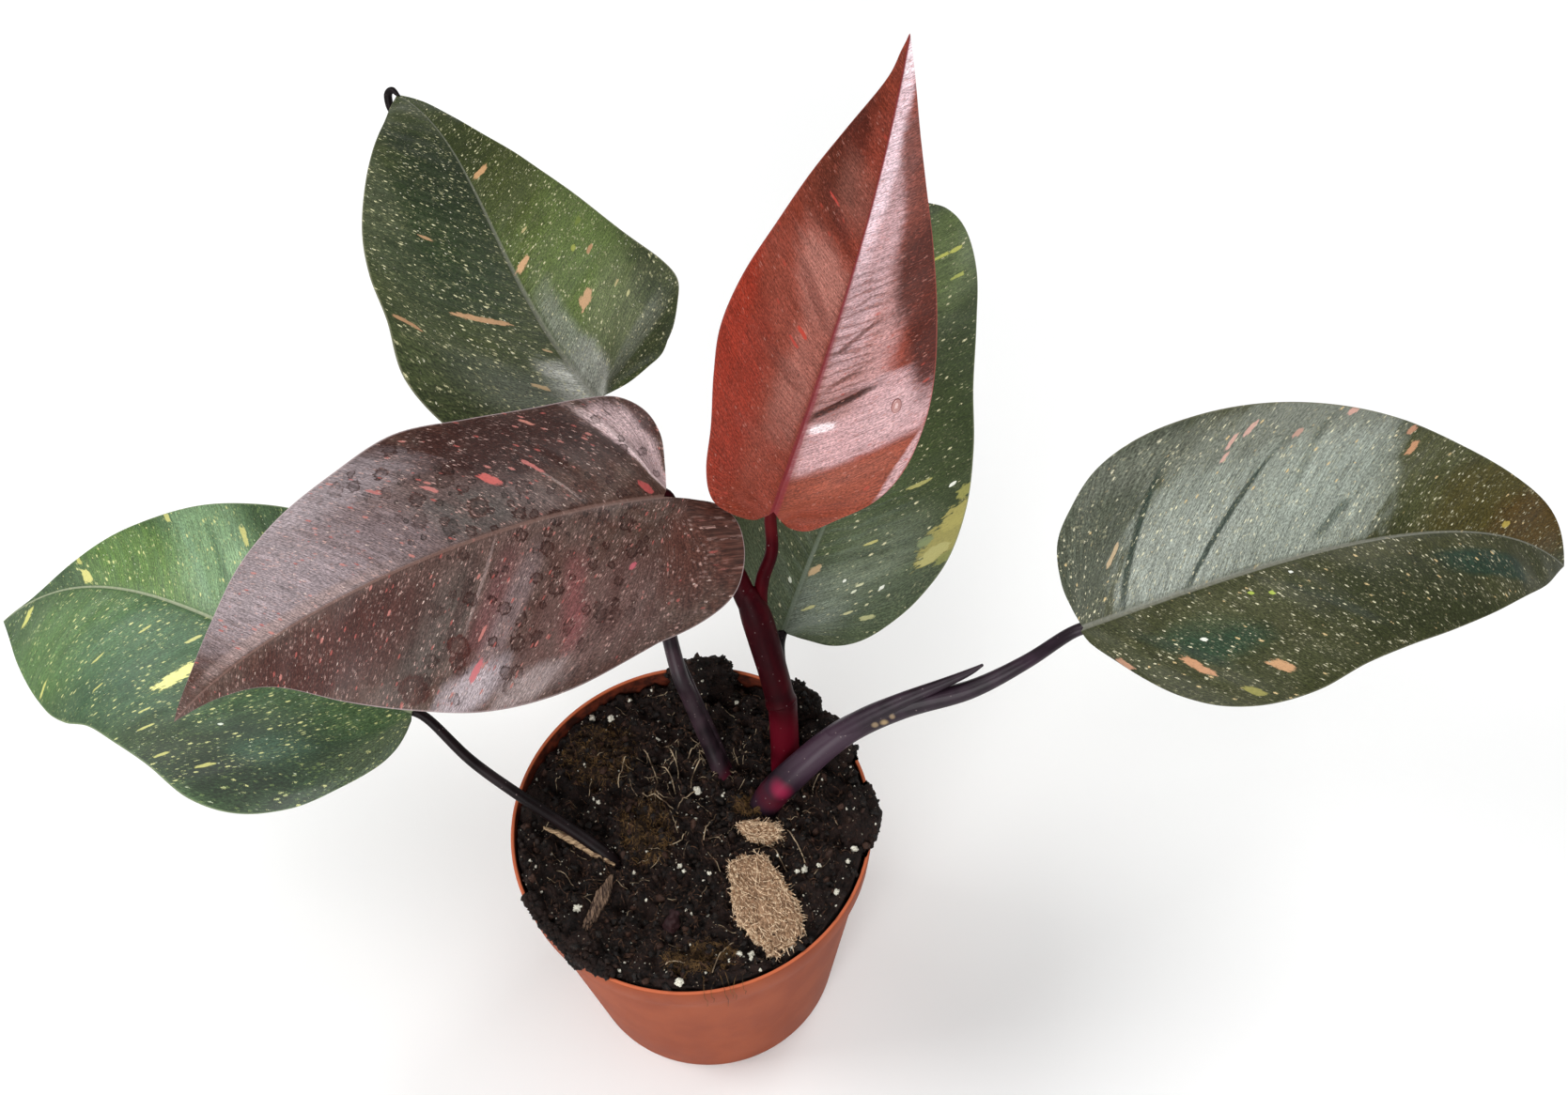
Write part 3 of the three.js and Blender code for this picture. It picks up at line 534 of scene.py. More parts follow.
# Peat has crept over the lip at the left and the front left.
lip_draw = random.Random(LIP_SEED)
lip_grains = []
for _ in range(LIP_CRUMBS):
    azimuth = math.radians(lip_draw.uniform(*LIP_STRETCH))
    radius = lip_draw.uniform(MOUTH_RADIUS - 1.5, RIM_RADIUS - 0.2)
    size = lip_draw.uniform(0.8, 2.6)
    lip_grains.append((radius * math.cos(azimuth), radius * math.sin(azimuth),
                       POT_HEIGHT + 0.3 * size, size))
stand(grains_mesh("lip_crumbs", lip_grains, 0.7, 2, peat_skin))
grow("soil_crumbs", ground, lump_tree("peat crumbs", crumb_skin, 0.7), "peat",
     density=115000, smallest=0.4 * MM, largest=3.6 * MM, seed=CRUMB_SEED)
grow("pale_grit_and_glints", ground, lump_tree("pale grit and painted glints", grit_and_glint_skin, 0.6), "bark",
     density=62000, smallest=0.2 * MM, largest=0.75 * MM, seed=GRIT_AND_GLINT_SEED)
grow("small_perlite", ground, lump_tree("perlite", perlite_skin, 0.8), "perlite",
     density=20000, smallest=0.3 * MM, largest=1.4 * MM, seed=PERLITE_SEED)

perlite_grains = [(x, y, rough_height(x, y) + 0.4 * size, 0.85 * size) for x, y, size in LARGE_PERLITE]
stand(grains_mesh("large_perlite", perlite_grains, 0.8, 3, perlite_skin))


# Fine pale roots and brown peat fibres lie over the soil. Each is a thin round thread that
# follows the surface from one end to the other, with a slight arch.
ROOT_SEED = 3
ROOT_COUNT = 110
PEAT_FIBRES = 1500
MATTED_FIBRES = 2200
ROOT_REACH = 8
FIBRE_REACH = 4.5
MATTED_REACH = 2.8
THREAD_SIDES = 5
SOIL_EDGE = 55
ROOT_SPOTS = ((0, 5, 50, 50), (0, 5, 50, 50), (2, 20, 18, 16))
LONG_FIBRES = (
    (20, -8.1, 27.5, -22.6, 1.2), (27.7, -2, 34.2, -23, 0.6), (-14.2, 15.5, -3.7, 5.6, 1.0),
    (-1.1, -52.2, 7.2, -43.5, 1.4), (-8, 27, -3.5, 14, 1.2), (-12, 32, -9, 17, 0.8),
    (-4, 33, -2, 19, 1.0), (1.5, 14, 8, 24, 1.6), (-4, 7, 4, 13, 1.0), (-2, -1, -8, -6, 0.8),
    (3, -6, 9, 3, 1.4), (17, -14, 27, -12, 0.4), (-15, -47, -9, -48, 0.4), (10, 17, 18, 17, 1.2),
    (23, -7, 29, -12, 0.4), (13, -3, 20, -9, 0.6), (2, 25, 9, 33, 0.8), (-22, 20, -18, 30, 1.0),
)
LIP_FIBRES = (
    (-4, -53, -4.8, -60.1, 96), (1, -54, 1.6, -60.2, 93), (2.5, -52, 3.4, -60.0, 98.5),
    (6, -55, 4.4, -60.1, 97), (-1, -55, -2.6, -60.3, 99), (8, -54, 7.5, -59.8, 100),
)


def thread_tree(name, material):
    """A tree that makes a round thread along every line of a mesh. Its input is the radius."""
    tree = new_tree(name, Radius="Float")
    given = add_node(tree, "NodeGroupInput", {}).outputs
    lines = add_node(tree, "GeometryNodeMeshToCurve", {"Mesh": given["Geometry"]})
    ring = add_node(tree, "GeometryNodeCurvePrimitiveCircle",
                    {"Resolution": THREAD_SIDES, "Radius": given["Radius"]})
    tube = add_node(tree, "GeometryNodeCurveToMesh",
                    {"Curve": lines.outputs[0], "Profile Curve": ring.outputs[0], "Fill Caps": True})
    real = add_node(tree, "GeometryNodeRealizeInstances", {"Geometry": tube.outputs[0]})
    coloured = add_node(tree, "GeometryNodeSetMaterial",
                        {"Geometry": real.outputs[0], "Material": material})
    add_node(tree, "NodeGroupOutput", {0: coloured.outputs[0]})
    return tree


def line_mesh(name, lines):
    """A mesh of bare lines, each given as its points in millimetres."""
    mesh = bpy.data.meshes.new(name)
    points = [point for line in lines for point in line]
    edges = []
    first = 0
    for line in lines:
        edges.extend((first + i, first + i + 1) for i in range(len(line) - 1))
        first += len(line)
    mesh.from_pydata([[c * MM for c in p] for p in points], edges, [])
    return mesh


def ground_line(x, y, end_x, end_y, arch, steps=10):
    """A line over the soil, bowed sideways and upwards by the arch, in millimetres."""
    line = []
    for i in range(steps + 1):
        t = i / steps
        bow = math.sin(math.pi * t)
        here_x = x + (end_x - x) * t + arch * bow * (y - end_y) / 14 + 0.2 * math.sin(7 * t + x)
        here_y = y + (end_y - y) * t + arch * bow * (end_x - x) / 14 + 0.2 * math.cos(6 * t + y)
        line.append((here_x, here_y, rough_height(here_x, here_y) + 0.5 + 0.6 * arch * bow))
    return line


def strewn_lines(pick, count, longest, spots):
    """Short lines over the soil within ovals given as x, y and two half sizes."""
    lines = []
    for _ in range(count):
        spot_x, spot_y, reach_x, reach_y = pick.choice(spots)
        angle, share = pick.uniform(0, math.tau), math.sqrt(pick.random())
        heading = pick.uniform(0, math.tau)
        length = pick.uniform(0.3, 1) * longest
        x, y = spot_x + reach_x * share * math.cos(angle), spot_y + reach_y * share * math.sin(angle)
        end_x, end_y = x + length * math.cos(heading), y + length * math.sin(heading)
        if max(math.hypot(x, y), math.hypot(end_x, end_y)) < SOIL_EDGE:
            lines.append(ground_line(x, y, end_x, end_y, pick.uniform(-1.2, 1.2), 5))
    return lines


def fibre_skin(name, roughness, specular, grain, low, high, dark, light):
    """A fibre's material, worn lighter in grains of that size."""
    finish = Finish(name, roughness, specular)
    worn = finish.mottle((grain, grain, grain))
    return finish.colour(finish.shades(worn, low, high, dark, light))


root_skin = fibre_skin("root fibre", 0.7, 0.3, 4, 0.35, 0.65, "4a3828", "bda88a")
brown_skin = fibre_skin("peat fibre", 0.8, 0.25, 2, 0.4, 0.7, "160d0a", "604534")
matted_skin = fibre_skin("matted fibre", 0.8, 0.25, 3, 0.35, 0.65, "2a1c11", "735734")
root_draw = random.Random(ROOT_SEED)
lip_lines = []
for x, y, end_x, end_y, foot in LIP_FIBRES:
    start = (x, y, rough_height(x, y) + 0.3)
    over = (end_x, end_y + 1.2, POT_HEIGHT + 0.6)
    lip_lines.append([start, ((x + end_x) / 2, (y + end_y) / 2 + 0.6, POT_HEIGHT + 1.2), over,
                      (end_x, end_y, POT_HEIGHT - 0.8), (end_x + 0.7, end_y + 0.1, (POT_HEIGHT + foot) / 2),
                      (end_x + 0.3, end_y + 0.35, foot)])
fine_lines = strewn_lines(root_draw, ROOT_COUNT, ROOT_REACH, ROOT_SPOTS)
grow("fine_roots", line_mesh("fine_roots", fine_lines),
     thread_tree("fine roots", root_skin), "bark", radius=0.1 * MM)
grow("long_fibres", line_mesh("long_fibres", [ground_line(*row) for row in LONG_FIBRES]),
     thread_tree("long fibres", root_skin), "bark", radius=0.2 * MM)
peat_lines = strewn_lines(root_draw, PEAT_FIBRES, FIBRE_REACH, ((0, 0, 54, 54),))
grow("peat_fibres", line_mesh("peat_fibres", peat_lines),
     thread_tree("peat fibres", brown_skin), "peat", radius=0.13 * MM)
matted_lines = strewn_lines(root_draw, MATTED_FIBRES, MATTED_REACH, BROWN_LUMPS) + lip_lines
grow("matted_fibres", line_mesh("matted_fibres", matted_lines),
     thread_tree("matted fibres", matted_skin), "peat", radius=0.08 * MM)


# The coir plug and its crumb are tan blocks of pressed coconut fibre that lie in the soil. Each
# is a rough block with a matted coat of short curved fibres.
BLOCK_ROUNDING = 1.1
BLOCK_CUTS = 5
LONGEST_EDGE = 0.8
ORDER_WAY = Vector((1, 0.618, 0.327))
STRAND_LENGTH = 5.0
STRAND_SPREAD = 30
COIR_BLOCKS = {
    "coir_plug": (((10, -17), (21, -16), (29, -36), (29, -47), (18, -51), (9, -37)), 98, 107, 1500, -60),
    "coir_crumb": (((14.5, -4), (19, -3.5), (27, -6.5), (29, -11), (22, -12), (17, -8.5)),
                   100, 106, 380, -20),
}
coir = Finish("coir", 0.9, 0.2)
matted = coir.mottle((0.7, 1.6, 0.9), 4.0, 0.7, 25)
darker = coir.mottle((4, 4, 4))
coir_colour = coir.shades(matted, 0.3, 0.7, "6a4f3a", "cda684")
coir.bump(matted, 1.2)
coir_colour = coir.tint(coir.ease(darker, 0.35, 0.6, 0.4, 0), coir_colour, paint("4a3527"))
coir_skin = coir.colour(coir_colour)
strand_skin = fibre_skin("coir strand", 0.7, 0.3, 1.1, 0.38, 0.62, "9c7858", "f6dcba")


def in_order(shape):
    """The same shape with its points and faces in order along one way, because a bevel gives
    them in another order in each run."""
    shape.verts.sort(key=lambda vertex: vertex.co.dot(ORDER_WAY))
    shape.faces.sort(key=lambda face: face.calc_center_median().dot(ORDER_WAY))
    shape.verts.index_update()
    fresh = bmesh.new()
    points = [fresh.verts.new(vertex.co) for vertex in shape.verts]
    for face in shape.faces:
        ring = [vertex.index for vertex in face.verts]
        start = ring.index(min(ring))
        fresh.faces.new([points[index] for index in ring[start:] + ring[:start]])
    shape.free()
    return fresh


def block_mesh(name, outline, low, high, knock, material):
    """A rough block with rounded edges over an outline in plan."""
    shape = bmesh.new()
    base = [shape.verts.new((x, y, low)) for x, y in outline]
    face = shape.faces.new(base)
    for item in bmesh.ops.extrude_face_region(shape, geom=[face])["geom"]:
        if isinstance(item, bmesh.types.BMVert):
            item.co.z = high
    bmesh.ops.recalc_face_normals(shape, faces=shape.faces)
    bmesh.ops.bevel(shape, geom=shape.edges[:], offset=BLOCK_ROUNDING, segments=3, affect="EDGES")
    shape = in_order(shape)
    bmesh.ops.triangulate(shape, faces=shape.faces)
    for _ in range(BLOCK_CUTS):
        long_edges = [edge for edge in shape.edges if edge.calc_length() > LONGEST_EDGE]
        bmesh.ops.subdivide_edges(shape, edges=long_edges, cuts=1)
        bmesh.ops.triangulate(shape, faces=shape.faces)
    shape.normal_update()
    for vertex in shape.verts:
        push = noise.fractal(vertex.co / 2.6, 0.7, 2.1, 4)
        vertex.co += vertex.normal * knock * push
    mesh = bpy.data.meshes.new(name)
    shape.transform(Matrix.Scale(MM, 4))
    shape.to_mesh(mesh)
    shape.free()
    mesh.materials.append(material)
    mesh.shade_smooth()
    return mesh


def fuzz_lines(mesh, count, heading):
    """Short curved lines on a mesh's surface, most of them near a heading in plan, in
    millimetres. The draw is seeded with their count."""
    pick = random.Random(count)
    mesh.calc_loop_triangles()
    lines = []
    faces = [t for t in mesh.loop_triangles if t.normal.z > -0.1]
    for _ in range(count):
        face = pick.choice(faces)
        start = sum((mesh.vertices[i].co for i in face.vertices), Vector()) / 3 / MM
        turn = math.radians(heading + pick.gauss(0, STRAND_SPREAD))
        along = Vector((math.cos(turn), math.sin(turn), 0))
        along = (along - face.normal * along.dot(face.normal)).normalized()
        bow = face.normal.cross(along) * pick.uniform(-0.5, 0.5)
        length = pick.uniform(0.4, 1) * STRAND_LENGTH
        height = pick.uniform(0.05, 0.4)
        lines.append([start + along * length * (t - 0.5) + bow * length * t * t
                      + face.normal * (height * math.sin(math.pi * t) - 0.1)
                      for t in (0, 0.25, 0.5, 0.75, 1)])
    return lines


strand_tree = thread_tree("coir strands", strand_skin)
for name, (outline, low, high, strands, heading) in COIR_BLOCKS.items():
    block = stand(block_mesh(name + "_block", outline, low, high, 1.0, coir_skin))
    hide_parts(name)
    coat = line_mesh(name + "_strands", fuzz_lines(block.data, strands, heading))
    grow(name + "_strands", coat, strand_tree, "coir", radius=0.1 * MM)


# The bark sliver is a splinter of dead, tan bark that lies loose on the soil. It is a thin rough
# block, grained along its length.
BARK_LOW = 100.5
BARK_HIGH = 104.2
BARK_HEADING = -32
bark = Finish("dry bark", 0.8, 0.25)
fibrous = bark.mottle((0.5, 5, 1.5), 4.0, 0.6, BARK_HEADING)
bark.bump(fibrous, 0.5)
bark_skin = bark.colour(bark.shades(fibrous, 0.38, 0.66, "30221c", "8a705c"))
BARK_OUTLINE = ((-27.5, -12), (-29, -19), (-36, -29), (-39.5, -31), (-39.5, -28), (-33, -17))
sliver_mesh = block_mesh("bark_splinter", BARK_OUTLINE, BARK_LOW, BARK_HIGH, 0.5, bark_skin)
sliver = stand(sliver_mesh)
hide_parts("bark_sliver")


# The right leaf is dark green with a painted grey sheen on its far half, olive towards the tip,
# speckled with cream flecks and salmon splashes. A leaf is one thin, fleshy blade with a midrib below.
BLADE_THICKNESS = 0.55
MARGIN_THICKNESS = 0.35
RIB_DEPTH = 2.2
RIB_HALF_WIDTH = 1.8
RIB_TAPER = 0.8
BEND_WIDTH = 45
ROOT_LEAN = 0.55
RIPPLE_FADE = 20
WAVE_SPAN = 14.5
ROW_STEPS = 10
ACROSS = np.linspace(0, 1, 37) ** 1.4
VEIN_LEAN = 0.7
VEIN_CURVE = 0.006
FAN_RADIUS = 22
NOTCH_RADIUS = 8
CURVE_POINTS = 401
STALK_CLEARANCE = 0.9
QUILT_LIFT = 0.2
SWELL_LIFT = 0.5
CHANNEL_DEPTH = 0.4
RIPPLE_WANDER = 9
FLECK_WARP = 1.3


class Blade:
    """A leaf's surface. The midrib is a cubic curve; face is the way the upper side looks at
    base and tip; fold is how steeply each half leaves the midrib, and bend how far it curves
    down towards the margin, in degrees at base and tip. A margin row holds how far along the
    midrib and how far out the right and then the left margin lie, in millimetres. A furrow is
    a colour, its two ends as places on the side veins, its half width, its depth and how
    strong the colour is."""

    def __init__(self, midrib, face, fold, bend, wave, margin, furrows):
        self.knots = np.array(midrib, float)
        self.share = np.linspace(0, 1, CURVE_POINTS)
        steps = np.linalg.norm(np.diff(self.on_curve(self.share), axis=0), axis=1)
        self.travel = np.concatenate([[0], np.cumsum(steps)])
        self.length = self.travel[-1]
        self.face = np.array(face, float)
        self.fold = np.radians([fold["left"], fold["right"]])
        self.bend = np.radians([bend["left"], bend["right"]])
        self.wave = wave
        self.margin = margin
        self.furrows = furrows

    def on_curve(self, t):
        t = np.asarray(t)[..., None]
        a, b, c, d = self.knots
        return (1 - t) ** 3 * a + 3 * (1 - t) ** 2 * t * b + 3 * (1 - t) * t * t * c + t ** 3 * d

    def heading(self, t):
        t = np.asarray(t)[..., None]
        a, b, c, d = self.knots
        way = (1 - t) ** 2 * (b - a) + 2 * (1 - t) * t * (c - b) + t * t * (d - c)
        return way / np.linalg.norm(way, axis=-1, keepdims=True)

    def surface(self, along, out, lift):
        """Points for arrays of places along the midrib, out from it, and above the blade."""
        share = np.clip(along / self.length, 0, 1)
        t = np.interp(share * self.length, self.travel, self.share)
        tangent = self.heading(t)
        face = self.face[0] + (self.face[1] - self.face[0]) * share[..., None]
        side = np.cross(tangent, face)
        side /= np.linalg.norm(side, axis=-1, keepdims=True)
        normal = np.cross(side, tangent)
        half = (out > 0).astype(int)
        fold = self.fold[half, 0] + (self.fold[half, 1] - self.fold[half, 0]) * share
        turn = (self.bend[half, 0] + (self.bend[half, 1] - self.bend[half, 0]) * share) / BEND_WIDTH
        end = fold + turn * np.abs(out)
        reach = (np.sin(end) - np.sin(fold)) / turn
        rise = (np.cos(fold) - np.cos(end)) / turn
        behind = along - np.clip(along, 0, self.length)
        return (self.on_curve(t) + tangent * behind[..., None]
                + side * (np.sign(out) * reach)[..., None] + normal * (rise + lift)[..., None])

    def seat(self, along, radius):
        """A row of the petiole's path: its middle under the midrib, and its radius."""
        below = self.surface(np.array([float(along)]), np.zeros(1), np.array([-radius - STALK_CLEARANCE]))
        return (*below[0], radius)


def vein_place(along, out):
    """The side vein that a place lies on, as where that vein leaves the midrib, and how far
    along it the place is. Behind the notch the veins fan out from it."""
    behind = along - VEIN_LEAN * np.abs(out) - VEIN_CURVE * out ** 2
    away = np.maximum(np.hypot(along, out), NOTCH_RADIUS)
    root = np.where(behind < 0, behind * FAN_RADIUS / away, behind)
    return root, out * math.hypot(1, VEIN_LEAN)


def blade_grid(blade):
    """The upper side as a grid from left margin to right margin and from notch to tip."""
    rows = smooth_rows(blade.margin, ROW_STEPS)
    number = np.arange(len(rows)) / ROW_STEPS
    root = np.maximum(0, (rows[:, 0] + rows[:, 2] - ROOT_LEAN * (rows[:, 1] + rows[:, 3])) / 2)
    halves = []
    for sign, along_column, out_column in ((-1, 2, 3), (1, 0, 1)):
        along = root[:, None] + (rows[:, along_column] - root)[:, None] * ACROSS
        out = sign * rows[:, out_column][:, None] * ACROSS
        size, count, phase = blade.wave
        swing = size * np.minimum(1, rows[:, out_column] / RIPPLE_FADE)
        swing = swing * np.sin(math.tau * count * number / WAVE_SPAN + phase * sign)
        halves.append((along, out, swing[:, None] * ACROSS ** 2, np.broadcast_to(ACROSS, along.shape)))
    left, right = halves
    return [np.hstack([a[:, :0:-1], b]) for a, b in zip(left, right)]


def smooth_rows(rows, steps):
    """Catmull-Rom interpolation through rows of numbers."""
    rows = np.array(rows, float)
    padded = np.vstack([2 * rows[0] - rows[1], rows, 2 * rows[-1] - rows[-2]])
    smooth = []
    for a, b, c, d in zip(padded, padded[1:], padded[2:], padded[3:]):
        for step in range(steps):
            t = step / steps
            smooth.append(0.5 * (2 * b + (c - a) * t + (2 * a - 5 * b + 4 * c - d) * t ** 2
                                 + (3 * b - a - 3 * c + d) * t ** 3))
    smooth.append(rows[-1])
    return np.array(smooth)


def blade_relief(blade, along, out, across):
    """The lift of gentle quilting, of furrows and of the midrib's channel, in millimetres."""
    root, reach = vein_place(along, out)
    inside = np.clip((1 - across) * 5, 0, 1)
    fade = np.clip(np.abs(reach) / 6, 0, 1) * inside
    lift = QUILT_LIFT * np.sin(root / 2.4 + 1.5 * np.sin(root / 9)) * fade
    lift = lift + SWELL_LIFT * np.sin(root / 6.5 + 0.7 * np.sign(out)) * np.sin(np.abs(reach) / 9) * fade
    for _, start, end, width, depth, _ in blade.furrows:
        way = np.subtract(end, start) / math.dist(start, end)
        done = ((root - start[0]) * way[0] + (reach - start[1]) * way[1]) / math.dist(start, end)
        off = (root - start[0]) * way[1] - (reach - start[1]) * way[0]
        lift = lift - depth * np.exp(-(off / width) ** 2 - ((done - 0.5) / 0.45) ** 4) * inside
    taper = 1 - RIB_TAPER * np.clip(along / blade.length, 0, 1)
    return lift - CHANNEL_DEPTH * taper * np.exp(-out ** 2)


def blade_mesh(name, blade, upper_side, under_side):
    """A closed mesh of the blade, with maps of its veins and of its plan."""
    along, out, ripple, across = blade_grid(blade)
    lift = ripple + blade_relief(blade, along, out, across)
    off_rib = np.hypot(np.minimum(along, 0), out) / RIB_HALF_WIDTH
    taper = 1 - RIB_TAPER * np.clip(along / blade.length, 0, 1)
    thin = np.clip((1 - across) * 4, 0, 1)
    depth = MARGIN_THICKNESS + (BLADE_THICKNESS - MARGIN_THICKNESS) * thin
    depth = depth + RIB_DEPTH * taper * np.exp(-off_rib ** 2) * thin
    grid = blade.surface(along, out, lift).reshape(-1, 3)
    under_grid = blade.surface(along, out, lift - depth).reshape(-1, 3)
    root, reach = vein_place(along, out)
    vein_map = np.stack([root, reach], -1).reshape(-1, 2) * MM
    plan_map = np.stack([along, out], -1).reshape(-1, 2) * MM
    _, first, merged = np.unique(np.round(grid, 3), axis=0, return_index=True, return_inverse=True)
    merged = merged.ravel()
    upper = grid[first]
    columns = along.shape[1]
    faces, sources = [], []
    for i in range(along.shape[0] - 1):
        for k in range(columns - 1):
            a = i * columns + k
            ring = []
            for corner in (a, a + 1, a + 1 + columns, a + columns):
                if merged[corner] not in [merged[c] for c in ring]:
                    ring.append(corner)
            if len(ring) > 2:
                faces.append([merged[corner] for corner in ring])
                sources.append(ring)
    open_edges = {}
    for face in faces:
        for start, end in zip(face, face[1:] + face[:1]):
            if open_edges.pop((end, start), None) is None:
                open_edges[(start, end)] = True
    edge_share = across.ravel()[first]
    count = len(upper)
    under_faces = [[corner + count for corner in face[::-1]] for face in faces]
    walls = [[end, start, start + count, end + count] for start, end in open_edges]
    mesh = new_mesh(name, np.vstack([upper, under_grid[first]]), faces + under_faces + walls,
                    upper_side, under_side)
    loops = [corner for ring in sources for corner in ring]
    loops += [corner for ring in sources for corner in ring[::-1]]
    loops += [first[corner % count] for wall in walls for corner in wall]
    for title, values in (("veins", vein_map), ("plan", plan_map)):
        layer = mesh.uv_layers.new(name=title)
        layer.data.foreach_set("uv", values[loops].astype(np.float32).ravel())
    edge_layer = mesh.attributes.new("edge", "FLOAT", "POINT")
    edge_layer.data.foreach_set("value", np.tile(edge_share, 2).astype(np.float32))
    slots = [0] * len(faces) + [1] * len(faces) + [0] * len(walls)
    mesh.polygons.foreach_set("material_index", slots)
    rim = np.zeros(2 * count, bool)
    for start, end in open_edges:
        rim[[start, end, start + count, end + count]] = True
    edges = np.empty(len(mesh.edges) * 2, int)
    mesh.edges.foreach_get("vertices", edges)
    edges = edges.reshape(-1, 2)
    sharp = rim[edges].all(axis=1) & ((edges[:, 0] < count) == (edges[:, 1] < count))
    mesh.attributes.new("sharp_edge", "BOOLEAN", "EDGE").data.foreach_set("value", sharp)
    return mesh


def plan_place(root, reach):
    """Where in the blade's plan a place on the side veins lies."""
    out = reach / math.hypot(1, VEIN_LEAN)
    lean = VEIN_LEAN * abs(out) + VEIN_CURVE * out ** 2
    along = root + lean
    if root < 0:
        for _ in range(20):
            along = root * max(math.hypot(along, out), NOTCH_RADIUS) / FAN_RADIUS + lean
    return along, out


class LeafFinish(Finish):
    """The upper side of a leaf, laid on in layers. Places are given on the side veins: where the
    vein leaves the midrib, and how far along it, left of the midrib below zero. All lengths are
    in millimetres, and a size is a half size."""

    def __init__(self, name, skin, shade, gloss, shine):
        super().__init__(name, gloss, shine)
        self.skin = skin
        self.veins = self.map("veins")
        self.plan = self.map("plan")
        self.on_vein = self.axes(self.veins)
        self.cloud = self.grain(self.stretch(self.plan, (11, 11, 1)), 5.0, 0.65)
        self.drift = self.grain(self.stretch(self.veins, (5, 16, 1)), 5.0, 0.7)
        self.lines = self.grain(self.stretch(self.veins, (0.45, 8, 1)), 4.0, 0.65)
        self.ragged = self.grain(self.stretch(self.veins, (1.4, 3.0, 1)), 4.0, 0.65)
        self.pores = self.grain(self.stretch(self.veins, (0.4, 0.9, 1)), 2.0, 0.6)
        self.shown = self.shades(self.cloud, 0.35, 0.65, skin, shade)

    def lay(self, share, code):
        """Lays a colour over what shows so far, by that share."""
        self.shown = self.tint(share, self.shown, paint(code))

    def from_centre(self, place, torn, centre, size, turn, tear):
        """How far a place is from a centre, 1 on the torn edge of a rounded patch of that size."""
        local = self.local(place, (*centre, 0), (*size, 1), turn)
        flat = self.add("ShaderNodeVectorMath", {0: local}, operation="ABSOLUTE").outputs[0]
        cubes = self.add("ShaderNodeVectorMath", {0: flat, 1: (3, 3, 1)}, operation="POWER").outputs[0]
        across = self.axes(cubes)
        away = self.sum("POWER", self.sum("ADD", across[0], across[1]), 1 / 3)
        return self.sum("ADD", away, self.times(self.sum("SUBTRACT", torn, 0.5), 2 * tear))

    def patch(self, torn, centre, size, turn=0.0, soft=0.8, tear=0.5):
        """The share of a rounded patch on the side veins."""
        away = self.from_centre(self.veins, torn, centre, size, turn, tear)
        return self.ease(away, 1.0 + soft / 2, 1.0 - soft / 2)

    def lay_zones(self, zones):
        """A zone is a colour, its place, its two sizes, its turn in degrees, its strength and its
        softness. One beside the midrib stays on its side of it."""
        for code, root, reach, half_root, half_reach, turn, strength, soft in zones:
            share = self.patch(self.drift, (root, reach), (half_root, half_reach), turn, soft)
            if reach:
                side = self.ease(self.on_vein[1], 0, math.copysign(0.5 * MM, reach))
                share = self.times(share, side)
            broken = self.ease(self.lines, 0.25, 0.75, 0.75 * strength, min(1.0, 1.2 * strength))
            self.lay(self.times(share, broken), code)

    def lay_furrows(self, furrows):
        for code, start, end, width, _, strength in furrows:
            centre = [(a + b) / 2 for a, b in zip(start, end)]
            turn = math.degrees(math.atan2(start[0] - end[0], end[1] - start[1]))
            share = self.patch(self.ragged, centre, (width, math.dist(start, end) / 2), turn, 0.8, 0.4)
            self.lay(self.times(share, strength), code)

    def lay_ripples(self, code, root, reach, half_root, half_reach, spacing, strength):
        """Ripples are a colour, the place and sizes of their patch, their spacing and strength."""
        across = self.sum("ADD", self.on_vein[0], self.times(self.drift, RIPPLE_WANDER * MM))
        phase = self.times(across, math.tau / (spacing * MM))
        crest = self.ease(self.sum("SINE", phase), 0.1, 0.95)
        share = self.patch(self.drift, (root, reach), (half_root, half_reach), 0, 0.8, 0.8)
        share = self.times(share, self.ease(self.lines, 0.3, 0.7, 0.5, 1))
        crest = self.times(crest, share)
        self.lay(self.times(crest, strength), code)

    def lay_blots(self, blots):
        """A blot is a colour, its place, its radius and strength, and is darkest at its rim."""
        for code, root, reach, radius, strength in blots:
            centre = plan_place(root, reach)
            away = self.from_centre(self.plan, self.ragged, centre, (radius, radius), 0, 0.5)
            rim = self.times(self.ease(away, 1.1, 0.95), self.ease(away, 0.5, 0.95, 0.5, 1.0))
            self.lay(self.times(rim, strength), code)

    def lay_stains(self, stains):
        """Stains are blots by chance: a colour, the place and sizes of the patch that has them,
        the width of a cell, a blot's radius in it, the share of cells with one and its strength."""
        for code, centre, size, width, radius, share, strength in stains:
            gap, choice, bright = self.cells(self.stretch(self.plan, (width, width, 1)), "2D")
            away = self.sum("DIVIDE", gap, self.ease(bright, 0, 1, 0.4 * radius, radius))
            away = self.sum("ADD", away, self.ease(self.ragged, 0.2, 0.8, -0.45, 0.45))
            rim = self.times(self.ease(away, 1.08, 0.95), self.ease(away, 0.5, 0.95, 0.45, 1.0))
            rim = self.times(rim, self.ease(choice, share, share * 0.97))
            rim = self.times(rim, self.patch(self.drift, centre, size))
            self.lay(self.times(rim, strength), code)

    def weave(self, grain, dots):
        """The skin's fine light and dark grain, and its pores in a colour of their own."""
        weave = self.times(self.ease(self.lines, 0.25, 0.75, 1 - grain, 1 + grain),
                           self.ease(self.pores, 0.25, 0.75, 1 - 1.3 * grain, 1 + 1.3 * grain))
        weave = self.times(weave, self.ease(self.drift, 0.3, 0.7, 0.86, 1.14))
        self.shown = self.lit(self.shown, weave)
        self.lay(self.ease(self.pores, 0.6, 0.8, 0, 0.5), dots)

